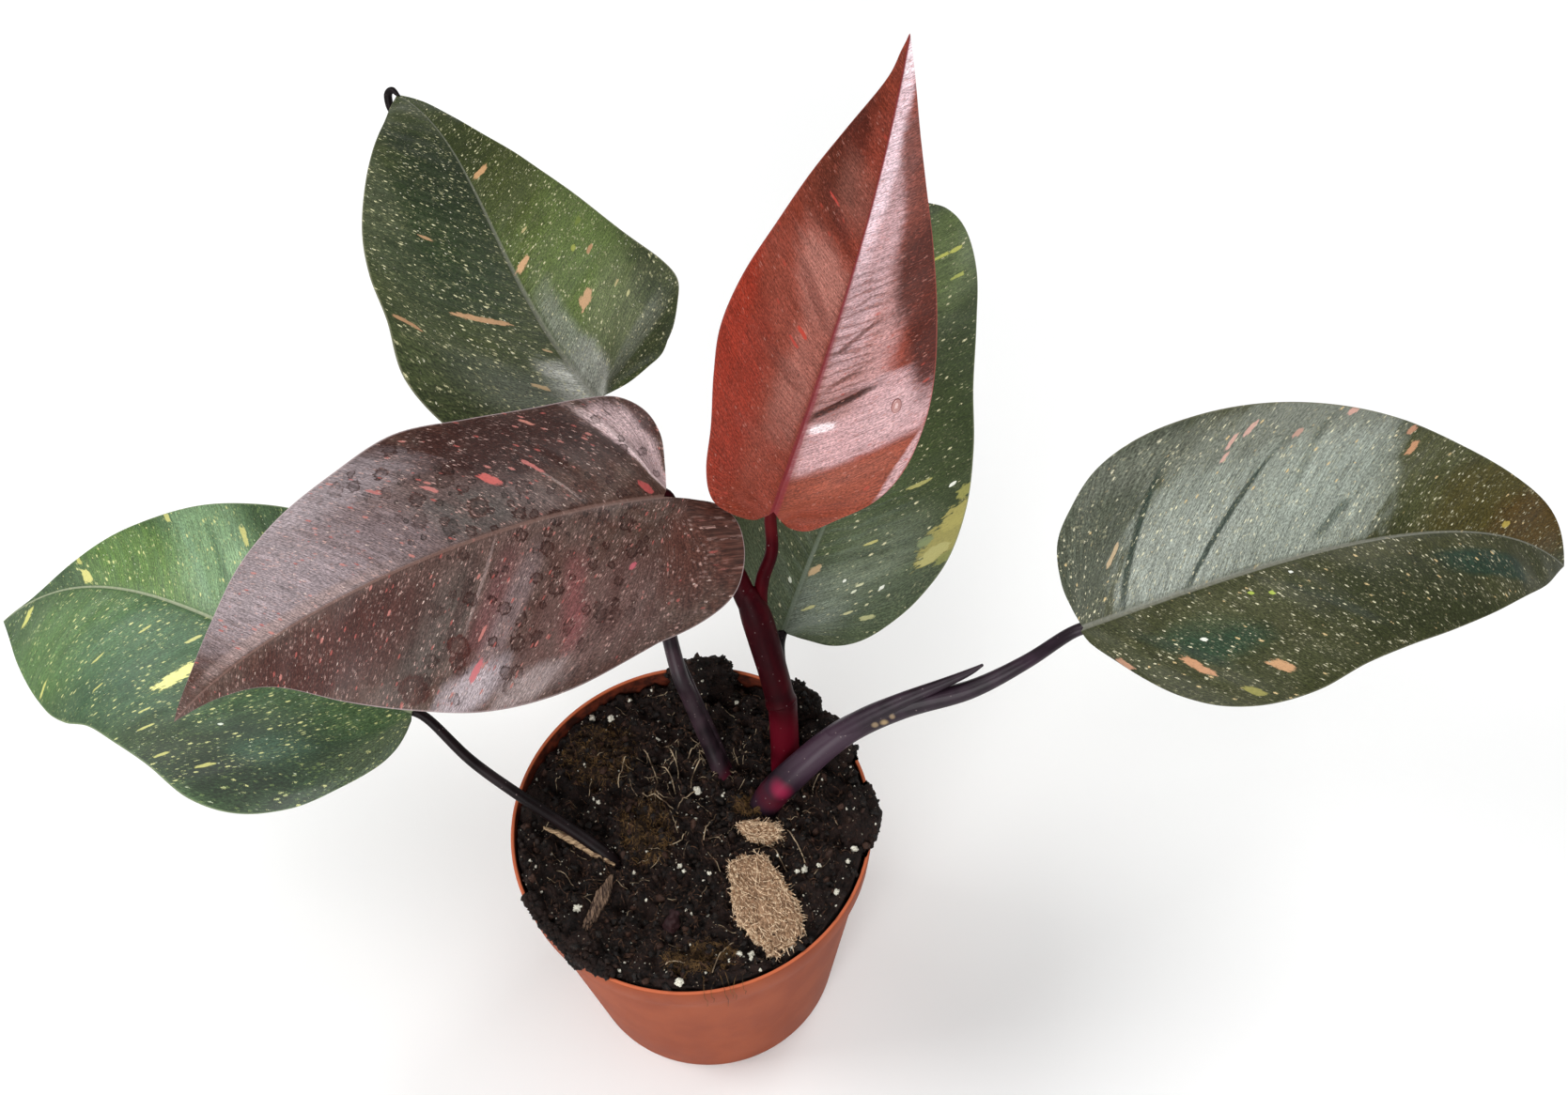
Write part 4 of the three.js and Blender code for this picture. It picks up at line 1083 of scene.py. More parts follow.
    def lay_flecks(self, flecks):
        """A layer of flecks is a colour, a cell's width across and along the veins, a fleck's
        radius in its cell, the share of cells that have one and its strength."""
        turbulence = self.add("ShaderNodeTexNoise", {"Vector": self.stretch(self.veins, (1.1, 1.1, 1))})
        warp = self.add("ShaderNodeVectorMath", {0: turbulence.outputs["Color"], "Scale": FLECK_WARP * MM},
                        operation="SCALE").outputs[0]
        shaken = self.add("ShaderNodeVectorMath", {0: self.veins, 1: warp}, operation="ADD").outputs[0]
        crowd = self.ease(self.cloud, 0.35, 0.62, 0.4, 1.45)
        for order, (code, width, length, radius, share, strength) in enumerate(flecks):
            tilted = self.stretch(shaken, (width, length, 1), 7 * order - 9)
            gap, choice, bright = self.cells(tilted, "2D")
            there = self.ease(self.sum("DIVIDE", choice, crowd), share, share * 0.95)
            size = self.ease(self.sum("POWER", bright, 2), 0, 1, 0.45 * radius, 1.35 * radius)
            spot = self.ease(self.sum("DIVIDE", gap, size), 1.0, 0.7)
            spot = self.times(spot, self.ease(bright, 0, 1, 0.5 * strength, strength))
            self.lay(self.times(spot, there), code)

    def lay_splashes(self, splashes):
        """A splash is a colour, its place, its sizes along and across the vein and its turn."""
        for code, root, reach, half_length, half_width, turn in splashes:
            share = self.patch(self.ragged, (root, reach), (half_width, half_length), turn, 0.3, 1.0)
            self.lay(self.times(share, self.ease(self.pores, 0.3, 0.6, 0.75, 0.95)), code)

    def lay_rib(self, code, base_width, tip_width, length, strength):
        """The rib is a colour, its size at base and tip, its length and its strength."""
        across = self.axes(self.plan)
        off = self.sum("ABSOLUTE", across[1])
        width = self.ease(across[0], 0, length * MM, base_width * MM, tip_width * MM)
        off_rib = self.sum("DIVIDE", off, width)
        faded = self.ease(self.ragged, 0.3, 0.7, 0.65 * strength, strength)
        self.lay(self.ease(off_rib, 2.0, 1.2, 0, 0.3), self.skin)
        self.lay(self.times(self.ease(off_rib, 1.1, 0.5), faded), code)


def leaf_finish(name, skin, shade, grain, zones, blade, flecks, splashes, ripples, rib, gloss, shine,
                dots, edge, blots=(), stains=()):
    """The material of a leaf's upper side, from its skin up to its midrib and its edge."""
    finish = LeafFinish(name, skin, shade, gloss, shine)
    finish.lay_zones(zones)
    finish.lay_furrows(blade.furrows)
    finish.lay_ripples(*ripples)
    finish.lay_blots(blots)
    finish.lay_stains(stains)
    finish.weave(grain, dots)
    finish.lay_flecks(flecks)
    finish.lay_splashes(splashes)
    finish.lay_rib(*rib)
    finish.lay(finish.ease(finish.own("edge"), 0.985, 0.998, 0, 0.6), edge)
    finish.bump(finish.lines, 0.07)
    finish.bump(finish.pores, 0.06)
    return finish.colour(finish.shown)


def under_finish(name, skin, rib):
    """The paler, duller underside of a leaf."""
    finish = Finish(name, 0.55, 0.25)
    lines = finish.grain(finish.stretch(finish.map("veins"), (0.8, 12, 1)), 3.0)
    off = finish.sum("ABSOLUTE", finish.axes(finish.map("plan"))[1])
    colour = finish.tint(finish.ease(lines, 0.3, 0.7, 0, 0.3), paint(skin), paint(rib))
    colour = finish.tint(finish.ease(off, 2.4 * MM, 1.2 * MM), colour, paint(rib))
    finish.bump(lines, 0.08)
    return finish.colour(colour)


green_under = under_finish("green underside", "5b6b4c", "6d5a55")
right_blade = Blade(
    midrib=((129, 12, 165), (180, 9, 189), (253, 23, 192), (292, 15, 147)),
    face=((0, -0.34, 0.94), (0, -0.30, 0.95)),
    fold={"right": (14, 8), "left": (20, 16)},
    bend={"right": (-34, -34), "left": (-24, -24)},
    wave=(1.5, 2.5, 0.6),
    margin=(
        (-1, 1, -0.25, 1), (1, 6, -1, 7), (6, 13, -1, 15), (13, 22, 2, 27), (21, 30, 9, 36),
        (32, 37, 20, 45), (46, 41, 35, 50), (62, 41, 53, 51), (79, 37, 72, 49), (97, 34, 92, 44),
        (115, 31, 111, 37), (133, 26, 129, 28), (149, 19, 146, 20), (164, 11, 162, 12),
        (176, 0, 176, 0),
    ),
    # The furrows' dark colours are painted shade in their grooves.
    furrows=(
        ("2f3a31", (13, 1), (2.5, -48), 1.1, 0.8, 0.95), ("333e36", (33, 1), (41, -40), 1.2, 0.9, 0.9),
        ("454f45", (72.5, -5), (78, -17), 2.2, 0.6, 0.7),
        ("5d6459", (56, -26), (52, -48), 1.4, 0.5, 0.5), ("2b3327", (58, 8), (66, 30), 2.4, 0.4, 0.5),
        ("2b3729", (8, 8), (16, 34), 2.2, 0.4, 0.5),
    ),
)
right_skin = leaf_finish(
    "right leaf", "32351a", "3f4028", 0.42,
    # The pale grey zones on the far half, 878d83, 8b9186, 9aa097 and 939b91, fading to 696c60 at the margin,
    # are painted sheen.
    zones=(
        ("4b5044", -8, -32, 16, 40, 0, 0.85, 0.8), ("878d83", 38, -26, 32, 34, -7, 0.92, 0.35),
        ("8b9186", 66, -27, 20, 34, -30, 0.9, 0.3), ("9aa097", 28, -14, 18, 16, 0, 0.5, 1.0),
        ("939b91", 66, -22, 16, 18, -30, 0.5, 1.0), ("696c60", 34, -51, 46, 9, 0, 0.7, 0.8),
        ("4b4d2c", 108, -30, 20, 24, -26, 0.7, 0.9), ("473f17", 132, -12, 24, 18, 0, 0.8, 0.7),
        ("503a14", 150, -8, 16, 14, 0, 0.75, 0.8), ("263d2b", 23, 20, 12, 9, -10, 0.9, 0.8),
        ("20362a", 124, 12, 17, 5.6, 0, 0.95, 0.5), ("47492f", 42, 12, 22, 7, 0, 0.6, 1.0),
        ("42452f", -2, 14, 6, 16, 0, 0.55, 1.0), ("3f4229", 34, 38, 24, 8, 0, 0.5, 1.0),
        ("2a2f18", 84, 24, 28, 16, 0, 0.7, 1.0), ("3f3f20", 104, 5, 28, 3, 0, 0.5, 1.0),
    ),
    blade=right_blade,
    flecks=(
        ("a09c7c", 0.6, 1.6, 0.28, 0.3, 0.6), ("d8d2b4", 0.9, 2.8, 0.20, 0.2, 0.9),
        ("e2dcb8", 1.6, 3.0, 0.15, 0.2, 0.95), ("d2b886", 3.0, 4.6, 0.12, 0.2, 0.9),
    ),
    splashes=(
        ("c18d70", 83.7, -40.3, 1.8, 1.1, 0), ("c9946e", 88.6, -33.2, 2.6, 1.2, 0),
        ("cfa091", 58.6, -50.4, 1.8, 1.6, 0), ("c9a093", 26.6, -51.1, 2.2, 1.0, 0),
        ("c9a093", 23.1, -48.2, 2.4, 0.8, 0), ("c9a093", 24.3, -43.2, 1.6, 0.7, 0),
        ("bb9484", 45.1, -45.2, 1.4, 1.2, 0), ("b7a07f", 1.9, -22, 3.6, 0.8, 0),
        ("c2906c", 9.2, 28.2, 5.0, 1.5, 8), ("c79a72", 25.1, 37.5, 3.2, 2.0, 0),
        ("b98c72", -4.3, 18.9, 3.0, 1.3, 0), ("8f8a4a", 9.5, 43.3, 2.6, 1.6, 0),
        ("b7a14c", 139.6, -4.6, 1.4, 1.3, 0), ("a9ba52", 50.4, 10.8, 0.9, 0.9, 0),
        ("e9ebe0", 20.3, 19.7, 0.7, 0.7, 0), ("e3e5da", 62, 5, 0.6, 0.6, 0),
        ("a9ba52", 46, 8.6, 0.7, 0.7, 0),
    ),
    ripples=("5d6053", 50, -26, 60, 26, 4.6, 0.22),
    rib=("85857a", 1.1, 0.3, 165, 0.7), gloss=0.45, shine=0.22, dots="7f8068", edge="6f6f5a",
)
right_mesh = blade_mesh("right_leaf", right_blade, right_skin, green_under)
right_leaf = stand(right_mesh)
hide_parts("blade_right")


# The purple leaf is the newest but one: brown-purple with a painted mauve sheen towards the tip, coral
# flecks, and dark spots where water has stood. Beyond a raised ridge its rear lobe is painted pale, as
# sheen.
purple_blade = Blade(
    midrib=((8, 58, 205), (-45, 46, 228), (-110, 25, 223), (-148, 28, 173)),
    face=((0, -0.62, 0.78), (0, -0.55, 0.83)),
    fold={"right": (-12, -4), "left": (12, 12)},
    bend={"right": (-34, -24), "left": (-45, -20)},
    wave=(1.2, 2, 0.4),
    margin=(
        (-1, 2, -8, 1.2), (-2, 10, -18, 4), (-3, 20, -24, 11), (-1, 28.7, -25, 24), (5.5, 35, -21, 35),
        (16, 36, -7, 44.5), (32, 36, 14, 50.6), (50, 38, 38, 54), (70, 41, 60, 52.8),
        (90, 36, 80, 47.8), (108, 31, 99, 38), (125, 24, 115, 27), (142, 14, 133, 12), (158, 6, 151, 5),
        (175, 0, 175, 0),
    ),
    # The dark furrow colours are painted shade in their grooves; the pale d6bfbe on the raised ridge before
    # the rear lobe is a painted highlight.
    furrows=(
        ("2c1610", (18, 8), (17, 40), 1.4, 0.5, 0.5), ("4a3532", (52, 6), (50, 36), 1.6, 0.5, 0.4),
        ("8d7a74", (24, 2), (24, 18), 0.5, -0.2, 0.6), ("8b7773", (53, -3), (52, -30), 0.6, 0.4, 0.55),
        ("3a2320", (57, -5), (57, -34), 2.0, 0.4, 0.5), ("4a2c27", (30, -8), (24, -50), 1.8, 0.5, 0.35),
        ("4a2c27", (8, -8), (-6, -50), 2.0, 0.5, 0.4), ("54403e", (84, 4), (84, 26), 1.4, 0.4, 0.3),
        ("d6bfbe", (-7, 3), (-6, 41), 1.4, -0.7, 0.45),
    ),
)
purple_skin = leaf_finish(
    "purple leaf", "43281f", "54423a", 0.42,
    # Painted sheen: the mauve-grey 665755, 78696b, 8d8083 and 94888b towards the tip, the pale rear lobe
    # bba1a2, the mauve-grey 7d6a6a and the whitish b3a6aa and a39391 by the lower margin. Painted shadow:
    # the dark 2c0f09 inside the ridge and 43201a along the lobe's margin.
    zones=(
        ("665755", 56, 16, 26, 18, 0, 0.75, 1.0), ("2c0f09", 20, 32, 28, 15, 0, 0.88, 0.9),
        ("4c4844", 52, 10, 12, 9, 0, 0.7, 1.0), ("78696b", 86, 20, 22, 22, 0, 0.8, 1.0),
        ("8d8083", 112, 15, 28, 16, 0, 0.85, 0.9), ("94888b", 72, 40, 28, 10, 0, 0.75, 0.9),
        ("bba1a2", -12, 18, 7, 22, -4, 0.95, 0.35), ("43201a", -19.5, 34, 3, 10, 0, 0.85, 0.6),
        ("5b4843", 62, -12, 40, 18, 0, 0.6, 1.0), ("4d4641", 64, -24, 11, 16, 0, 0.7, 1.0),
        ("6b504c", 6, -40, 24, 20, 0, 0.6, 1.0), ("7d6a6a", 38, -30, 5, 18, 0, 0.7, 1.0),
        ("7a4142", 15, -30, 3.2, 15, -28, 0.5, 1.4), ("804548", 6, -42, 3.0, 8, -24, 0.45, 1.4),
        ("74484a", 46, -24, 4.2, 15, 0, 0.5, 1.4), ("b3a6aa", 40, -50, 12, 7, 0, 0.8, 0.9),
        ("a39391", 14, -57, 13, 6, 0, 0.75, 0.9), ("553129", -24, -20, 9, 18, 0, 0.6, 1.0),
        ("40201b", 104, -16, 34, 14, 0, 0.85, 0.9), ("8f7a76", 118, 3, 32, 2.2, 0, 0.7, 0.9),
    ),
    blade=purple_blade,
    flecks=(
        ("9c7f78", 0.6, 1.8, 0.30, 0.32, 0.55), ("c8a096", 0.8, 2.8, 0.20, 0.26, 0.8),
        ("a9564f", 2.0, 4.2, 0.16, 0.2, 0.8), ("e2c9bd", 1.1, 2.8, 0.13, 0.14, 0.85),
        ("b8756c", 3.0, 5.4, 0.15, 0.18, 0.85),
    ),
    splashes=(
        ("c2605a", 37.2, 19.5, 3.0, 1.6, 0), ("b46a64", 23.7, 20.1, 3.0, 0.8, 0),
        ("a84a48", 3.2, 4.2, 2.4, 1.3, 0), ("bd6468", 41.2, -43.9, 3.2, 1.5, 0),
        ("b8746e", 50.9, 23.2, 2.2, 0.8, 0), ("ad6a66", 60, 30, 2.0, 0.6, 0),
        ("b8786a", 6, 38, 1.8, 0.7, 0), ("b8746c", 45, -32, 2.2, 0.7, 0),
        ("bd5f6a", -2, -24, 1.2, 1.0, 0),
    ),
    blots=(
        ("2f1b14", 44.8, 24.8, 2.6, 0.7), ("33180f", 49.1, 10.6, 3.0, 0.8),
        ("3f150c", 52.3, -33.5, 3.4, 0.95), ("3f150c", 50.5, -38, 2.4, 0.9),
        ("401c14", 64.5, -40.7, 4.2, 0.8), ("2b2522", 60.8, 6.8, 2.4, 0.7),
    ),
    stains=(
        ("2c1009", (26, 0), (42, 60), 6.4, 0.42, 0.6, 0.95),
        ("1f1410", (40, 10), (38, 26), 3.6, 0.34, 0.34, 0.9),
    ),
    ripples=("3f2a25", 40, 18, 60, 30, 5.2, 0.2),
    rib=("7f6259", 0.8, 0.35, 170, 0.6), gloss=0.4, shine=0.25, dots="8f7b76", edge="b3a2a2",
)
purple_under = under_finish("purple underside", "6d343a", "8d4a4a")
purple_mesh = blade_mesh("purple_leaf", purple_blade, purple_skin, purple_under)
purple_leaf = stand(purple_mesh)
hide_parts("blade_purple")


# The red leaf is new: thin, glossy and upright, orange-red, with a magenta midrib and fine ripples
# beside it, a painted pale reflection on its right half and a long tip painted pale as sheen.
red_blade = Blade(
    midrib=((40.7, 57, 189), (61.7, 79, 229), (82.7, 100, 270), (97, 129, 308)),
    face=((0.1, -0.8, 0.6), (0.1, -0.8, 0.6)),
    fold={"right": (20, 20), "left": (20, 20)},
    bend={"right": (-10, -10), "left": (-10, -10)},
    wave=(0.8, 3, 0.9),
    margin=(
        (-1.4, 2, -1.3, 2), (-3, 6, -3, 7), (-2, 12, -1, 16), (4, 19, 3, 23.4), (14, 28, 12, 28),
        (27, 33, 26, 31), (44, 34, 43, 35.6), (59, 32, 58, 38), (76, 27, 74, 35.6),
        (93, 20.4, 91, 29.3), (108, 14, 107, 22.6), (122, 8.7, 121, 14.8), (136, 4.2, 136, 5),
        (144, 1.6, 144, 2), (149, 0, 149, 0),
    ),
    # Painted light: f0dde0 is a painted highlight, the broad bands 47180d, 491b10 and 6a352a along the right
    # margin are painted dark reflection, and the other dark furrow colours are painted shade in their
    # grooves.
    furrows=(
        ("f0dde0", (27.7, 2.5), (26.2, 11), 1.5, -0.5, 0.9),
        ("3a150c", (31.5, 0), (36, 20), 1.5, 1.1, 0.98), ("5c2b22", (40, 2), (45, 14), 0.8, 0.5, 0.6),
        ("5c2b22", (52, 2), (60, 15), 0.9, 0.5, 0.7), ("6e342a", (60, -4), (66, -22), 2.6, 0.8, 0.45),
        ("75392e", (38, -5), (36, -28), 2.4, 0.6, 0.4), ("6a2f25", (84, -4), (90, -20), 2.4, 0.6, 0.5),
        ("7d3a30", (16, -5), (10, -28), 2.0, 0.4, 0.35), ("c4a0a2", (-10, 34.5), (16, 45), 2.0, 0, 0.8),
        ("47180d", (24, 42), (62, 27), 6.6, 0, 0.97), ("491b10", (56, 26), (92, 18), 7.0, 0, 0.97),
        ("6a352a", (86, 18), (126, 7), 4.6, 0, 0.9),
    ),
)
red_skin = leaf_finish(
    "red leaf", "77301f", "863c2e", 0.36,
    # The pale pink zones on the right half, b58a88, b9979a, c39c9e and c09ea0, and e6cad2 and e9d6dc along
    # the midrib towards the tip, are painted reflection.
    zones=(
        ("8a4537", 40, -20, 34, 14, 0, 0.7, 1.0), ("b0766a", 69, -12, 10, 12, 0, 0.8, 1.0),
        ("a86c60", 50, -8, 18, 8, 0, 0.6, 1.0), ("8a2f20", 12, -34, 30, 12, 0, 0.85, 0.9),
        ("92301f", 32, -42, 30, 5, 0, 0.8, 0.9), ("4c1d12", 106, -16, 22, 9, 0, 0.85, 0.8),
        ("5a2a1c", 92, -22, 12, 10, 0, 0.6, 1.0), ("8b564a", 98, -8, 9, 8, 0, 0.6, 1.0),
        ("9d6a5f", 30, -10, 12, 8, 0, 0.5, 1.0), ("b58a88", 50, 9, 30, 14, 0, 0.9, 0.7),
        ("b9979a", 84, 5, 36, 8, 0, 0.9, 0.7), ("c39c9e", 24, 20, 13.5, 30, 0, 0.95, 0.35),
        ("c09ea0", 23, 30, 8, 10, 0, 0.6, 0.9), ("7a4a3c", 33, 8, 5, 9, 12, 0.5, 0.9),
        ("87402c", -4, 18, 15, 34, 0, 0.92, 0.3), ("96503e", 4, 24, 6, 12, 0, 0.6, 0.9),
        ("7c3322", -12, 12, 8, 12, 0, 0.6, 0.9), ("e6cad2", 116, 1.4, 34, 3.6, 0, 0.95, 0.8),
        ("e9d6dc", 144, 0.6, 7, 3, 0, 0.8, 0.8), ("c79298", -14, 0, 6, 3, 0, 0.6, 0.8),
    ),
    blade=red_blade,
    flecks=(
        ("a8584a", 0.6, 2.4, 0.3, 0.34, 0.45), ("c98a7c", 1.0, 2.8, 0.2, 0.2, 0.5),
        ("b04436", 3.4, 6, 0.14, 0.12, 0.6),
    ),
    splashes=(
        ("c24536", 50.8, -13.5, 3.2, 0.7, 0), ("b9453a", 46, -16, 2.6, 0.5, 0),
        ("b9453a", 90, -16, 2.4, 0.4, 0),
    ),
    # The dark ripple lines are painted shade of the fine ripples beside the midrib.
    ripples=("5e2e24", 54, 7, 24, 9, 3.1, 0.75),
    rib=("84303a", 1.7, 0.3, 100, 0.85), gloss=0.42, shine=0.15, dots="a8645a", edge="9a4a42",
)
red_under = under_finish("red underside", "8f3a36", "a8484a")
red_leaf = stand(blade_mesh("red_leaf", red_blade, red_skin, red_under))
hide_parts("blade_red")


# Two drops of water cling to the right half of the red leaf. A drop is a flat glossy dome in the
# leaf's colour, darker towards its rim as painted shade, given as its place on the side veins, its
# half length along the midrib, its half width and its height.
DROP_SINK = 0.12
DROPS = ((24.4, 29.8, 2.4, 1.5, 0.9), (15, 28, 2.3, 1.9, 0.6))
DROP_SIDES = 28
DROP_RINGS = 8
wet = Finish("water drop", 0.06, 0.6)
# A drop is painted darker where it turns from view: painted shade at its rim.
painted_rim_shade = wet.add("ShaderNodeLayerWeight", {"Blend": 0.4}).outputs["Facing"]
wet_skin = wet.colour(wet.shades(painted_rim_shade, 0.2, 0.75, "b38682", "70352f"))
drop_points, drop_faces = [], []
for root, reach, half_length, half_width, height in DROPS:
    along, out = plan_place(root, reach)
    first = len(drop_points)
    turns = np.linspace(0, math.tau, DROP_SIDES, endpoint=False)
    for ring in range(1, DROP_RINGS + 1):
        share = ring / DROP_RINGS
        lift = height * math.sqrt(1 - share ** 2) - DROP_SINK
        drop_points.extend(red_blade.surface(along + half_length * share * np.cos(turns),
                                             out + half_width * share * np.sin(turns),
                                             np.full(DROP_SIDES, lift)))
    for ring in range(DROP_RINGS - 1):
        for k in range(DROP_SIDES):
            a, b = first + ring * DROP_SIDES + k, first + ring * DROP_SIDES + (k + 1) % DROP_SIDES
            drop_faces.append((a, a + DROP_SIDES, b + DROP_SIDES, b))
    last = first + (DROP_RINGS - 1) * DROP_SIDES
    drop_faces.append(tuple(range(first, first + DROP_SIDES)))
    drop_faces.append(tuple(range(last, last + DROP_SIDES))[::-1])
drop_mesh = new_mesh("water_drops", drop_points, drop_faces, wet_skin)
stand(drop_mesh)


# The back right leaf stands behind the stem: grey-green, with a large yellow-green splash on its
# outer margin and yellow flecks near the tip.
back_right_blade = Blade(
    midrib=((40, 45, 140), (65, 86, 159), (97, 109, 200), (113, 167, 200)),
    face=((0.1, -0.3, 0.95), (0, -0.3, 0.95)),
    fold={"right": (10, 8), "left": (10, 8)},
    bend={"right": (-20, -20), "left": (-20, -20)},
    wave=(1.6, 2.5, 0.3),
    margin=(
        (-1, 2, -1, 2), (-1, 8, 0, 6), (0, 17, 2, 11), (5, 25, 6, 18), (14, 32, 13, 25),
        (26, 38, 25, 33), (42, 42, 42, 40), (60, 41, 60, 41), (78, 36, 78, 36), (96, 29, 96, 29),
        (115, 24, 115, 23), (132, 20, 132, 17), (146, 14, 146, 10), (154, 7, 154, 4), (157, 0, 157, 0),
    ),
    # The dark 2c3726 and 46503c are painted shade in their grooves.
    furrows=(
        ("2c3726", (22, 6), (18, 36), 1.8, 0.4, 0.4), ("46503c", (12, -4), (12, -20), 1.8, 0.4, 0.4),
        ("8b958a", (4, 0), (30, 0), 0.8, 0, 0.4),
    ),
)
back_right_skin = leaf_finish(
    "back right leaf", "364028", "434c33", 0.36,
    # The grey 697165 and 6a735f near the base are painted sheen.
    zones=(
        ("697165", 6, 8, 14, 14, 0, 0.8, 1.0), ("6a735f", 16, 24, 14, 14, 0, 0.8, 1.0),
        ("2d3916", 80, 34, 56, 18, 0, 0.75, 1.0), ("556049", 4, -14, 14, 14, 0, 0.6, 1.0),
        ("57653a", 128, 10, 22, 10, 0, 0.8, 0.8), ("63704a", 120, 20, 12, 6, 0, 0.5, 0.9),
        ("4a5540", -2, 34, 10, 12, 0, 0.5, 1.0), ("3b4a26", 44, 12, 24, 12, 0, 0.5, 1.0),
    ),
    blade=back_right_blade,
    flecks=(
        ("808260", 0.6, 1.3, 0.30, 0.3, 0.45), ("bcb892", 1.1, 2.6, 0.18, 0.16, 0.85),
        ("d3cda4", 2.3, 3.6, 0.16, 0.14, 0.9),
    ),
    splashes=(
        ("9a9252", 12, 47, 7.5, 7.5, 0), ("a49b58", 20, 49, 5, 5, 0), ("aaa468", 8, 45, 4, 3.0, 0),
        ("93914f", 29, 48, 3.4, 2.4, 0), ("76825a", 15, 40, 2.2, 2.0, 0), ("7c7f46", 4, 50, 3, 2, 0),
        ("a09c5e", 40.7, 29, 3.4, 0.8, 0), ("b59a74", 19.9, 3.5, 2.0, 1.5, 0),
        ("d8dcc8", 13.2, -4.7, 0.8, 0.8, 0), ("eceee0", 34.3, 41.4, 0.9, 0.8, 0),
        ("e8eadc", 3.2, 30.7, 0.8, 0.8, 0), ("e8eadc", 12, 16, 0.6, 0.6, 0),
        ("b7b85a", 128.9, 14.6, 2.6, 0.8, 0), ("b7b85a", 129.2, 9.2, 2.6, 0.7, 0),
        ("d8dac0", 6, 21, 0.7, 0.6, 0), ("b0ad78", 5.6, 6.3, 2.0, 0.6, 0),
        ("a9a878", -5.7, 29.5, 2.4, 0.7, 0), ("b7b06c", 24, 20, 2.0, 0.6, 0),
        ("aab05c", 118, 17, 2.2, 0.7, 0), ("c9c8a0", 8, 22, 1.4, 0.5, 0),
        ("bdb98a", -2, 22, 1.6, 0.5, 0),
    ),
    ripples=("59645a", 16, 10, 30, 22, 4.6, 0.25),
    rib=("66705f", 0.9, 0.4, 150, 0.6), gloss=0.45, shine=0.3, dots="6c7354", edge="7f8468",
)
back_right_mesh = blade_mesh("back_right_leaf", back_right_blade, back_right_skin, green_under)
back_right_leaf = stand(back_right_mesh)
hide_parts("blade_back_right")


# The back left leaf lies almost flat behind the others: olive green, brighter on its right half,
# dense with cream flecks, and its tip ends in a small dark, curled point.
back_left_blade = Blade(
    midrib=((-8, 117, 185), (-36, 153, 210), (-33, 215, 215), (-63, 265, 196)),
    face=((0.15, 0, 1), (0.3, 0, 0.95)),
    fold={"right": (8, 6), "left": (8, 6)},
    bend={"right": (-20, -20), "left": (-20, -20)},
    wave=(1.5, 3, 0.2),
    margin=(
        (-1, 2, -1, 2), (-3, 12, -3, 10), (-3, 22, -3, 20), (-2, 32, -2, 30), (3.5, 41.3, 5, 39.5),
        (15, 48.6, 15, 46.6), (28, 53.5, 31, 50.2), (43, 51.6, 48, 46.2), (60, 44.4, 65, 44.8),
        (79, 34.8, 82, 41.5), (98, 22.8, 100, 35), (116, 13.6, 117, 27), (134, 8.2, 135, 17),
        (150, 4.6, 150, 8.6), (162, 0, 162, 0),
    ),
    # The furrow colours are painted shade in their grooves.
    furrows=(
        ("2c3522", (30, -6), (26, -40), 2.2, 0.6, 0.5), ("2d3722", (62, -5), (60, -34), 2.2, 0.5, 0.4),
        ("4c5a34", (28, 6), (24, 40), 2, 0.4, 0.3), ("333c28", (6, -6), (0, -44), 2, 0.5, 0.5),
        ("26301c", (92, -3), (92, -24), 2, 0.4, 0.4),
    ),
)
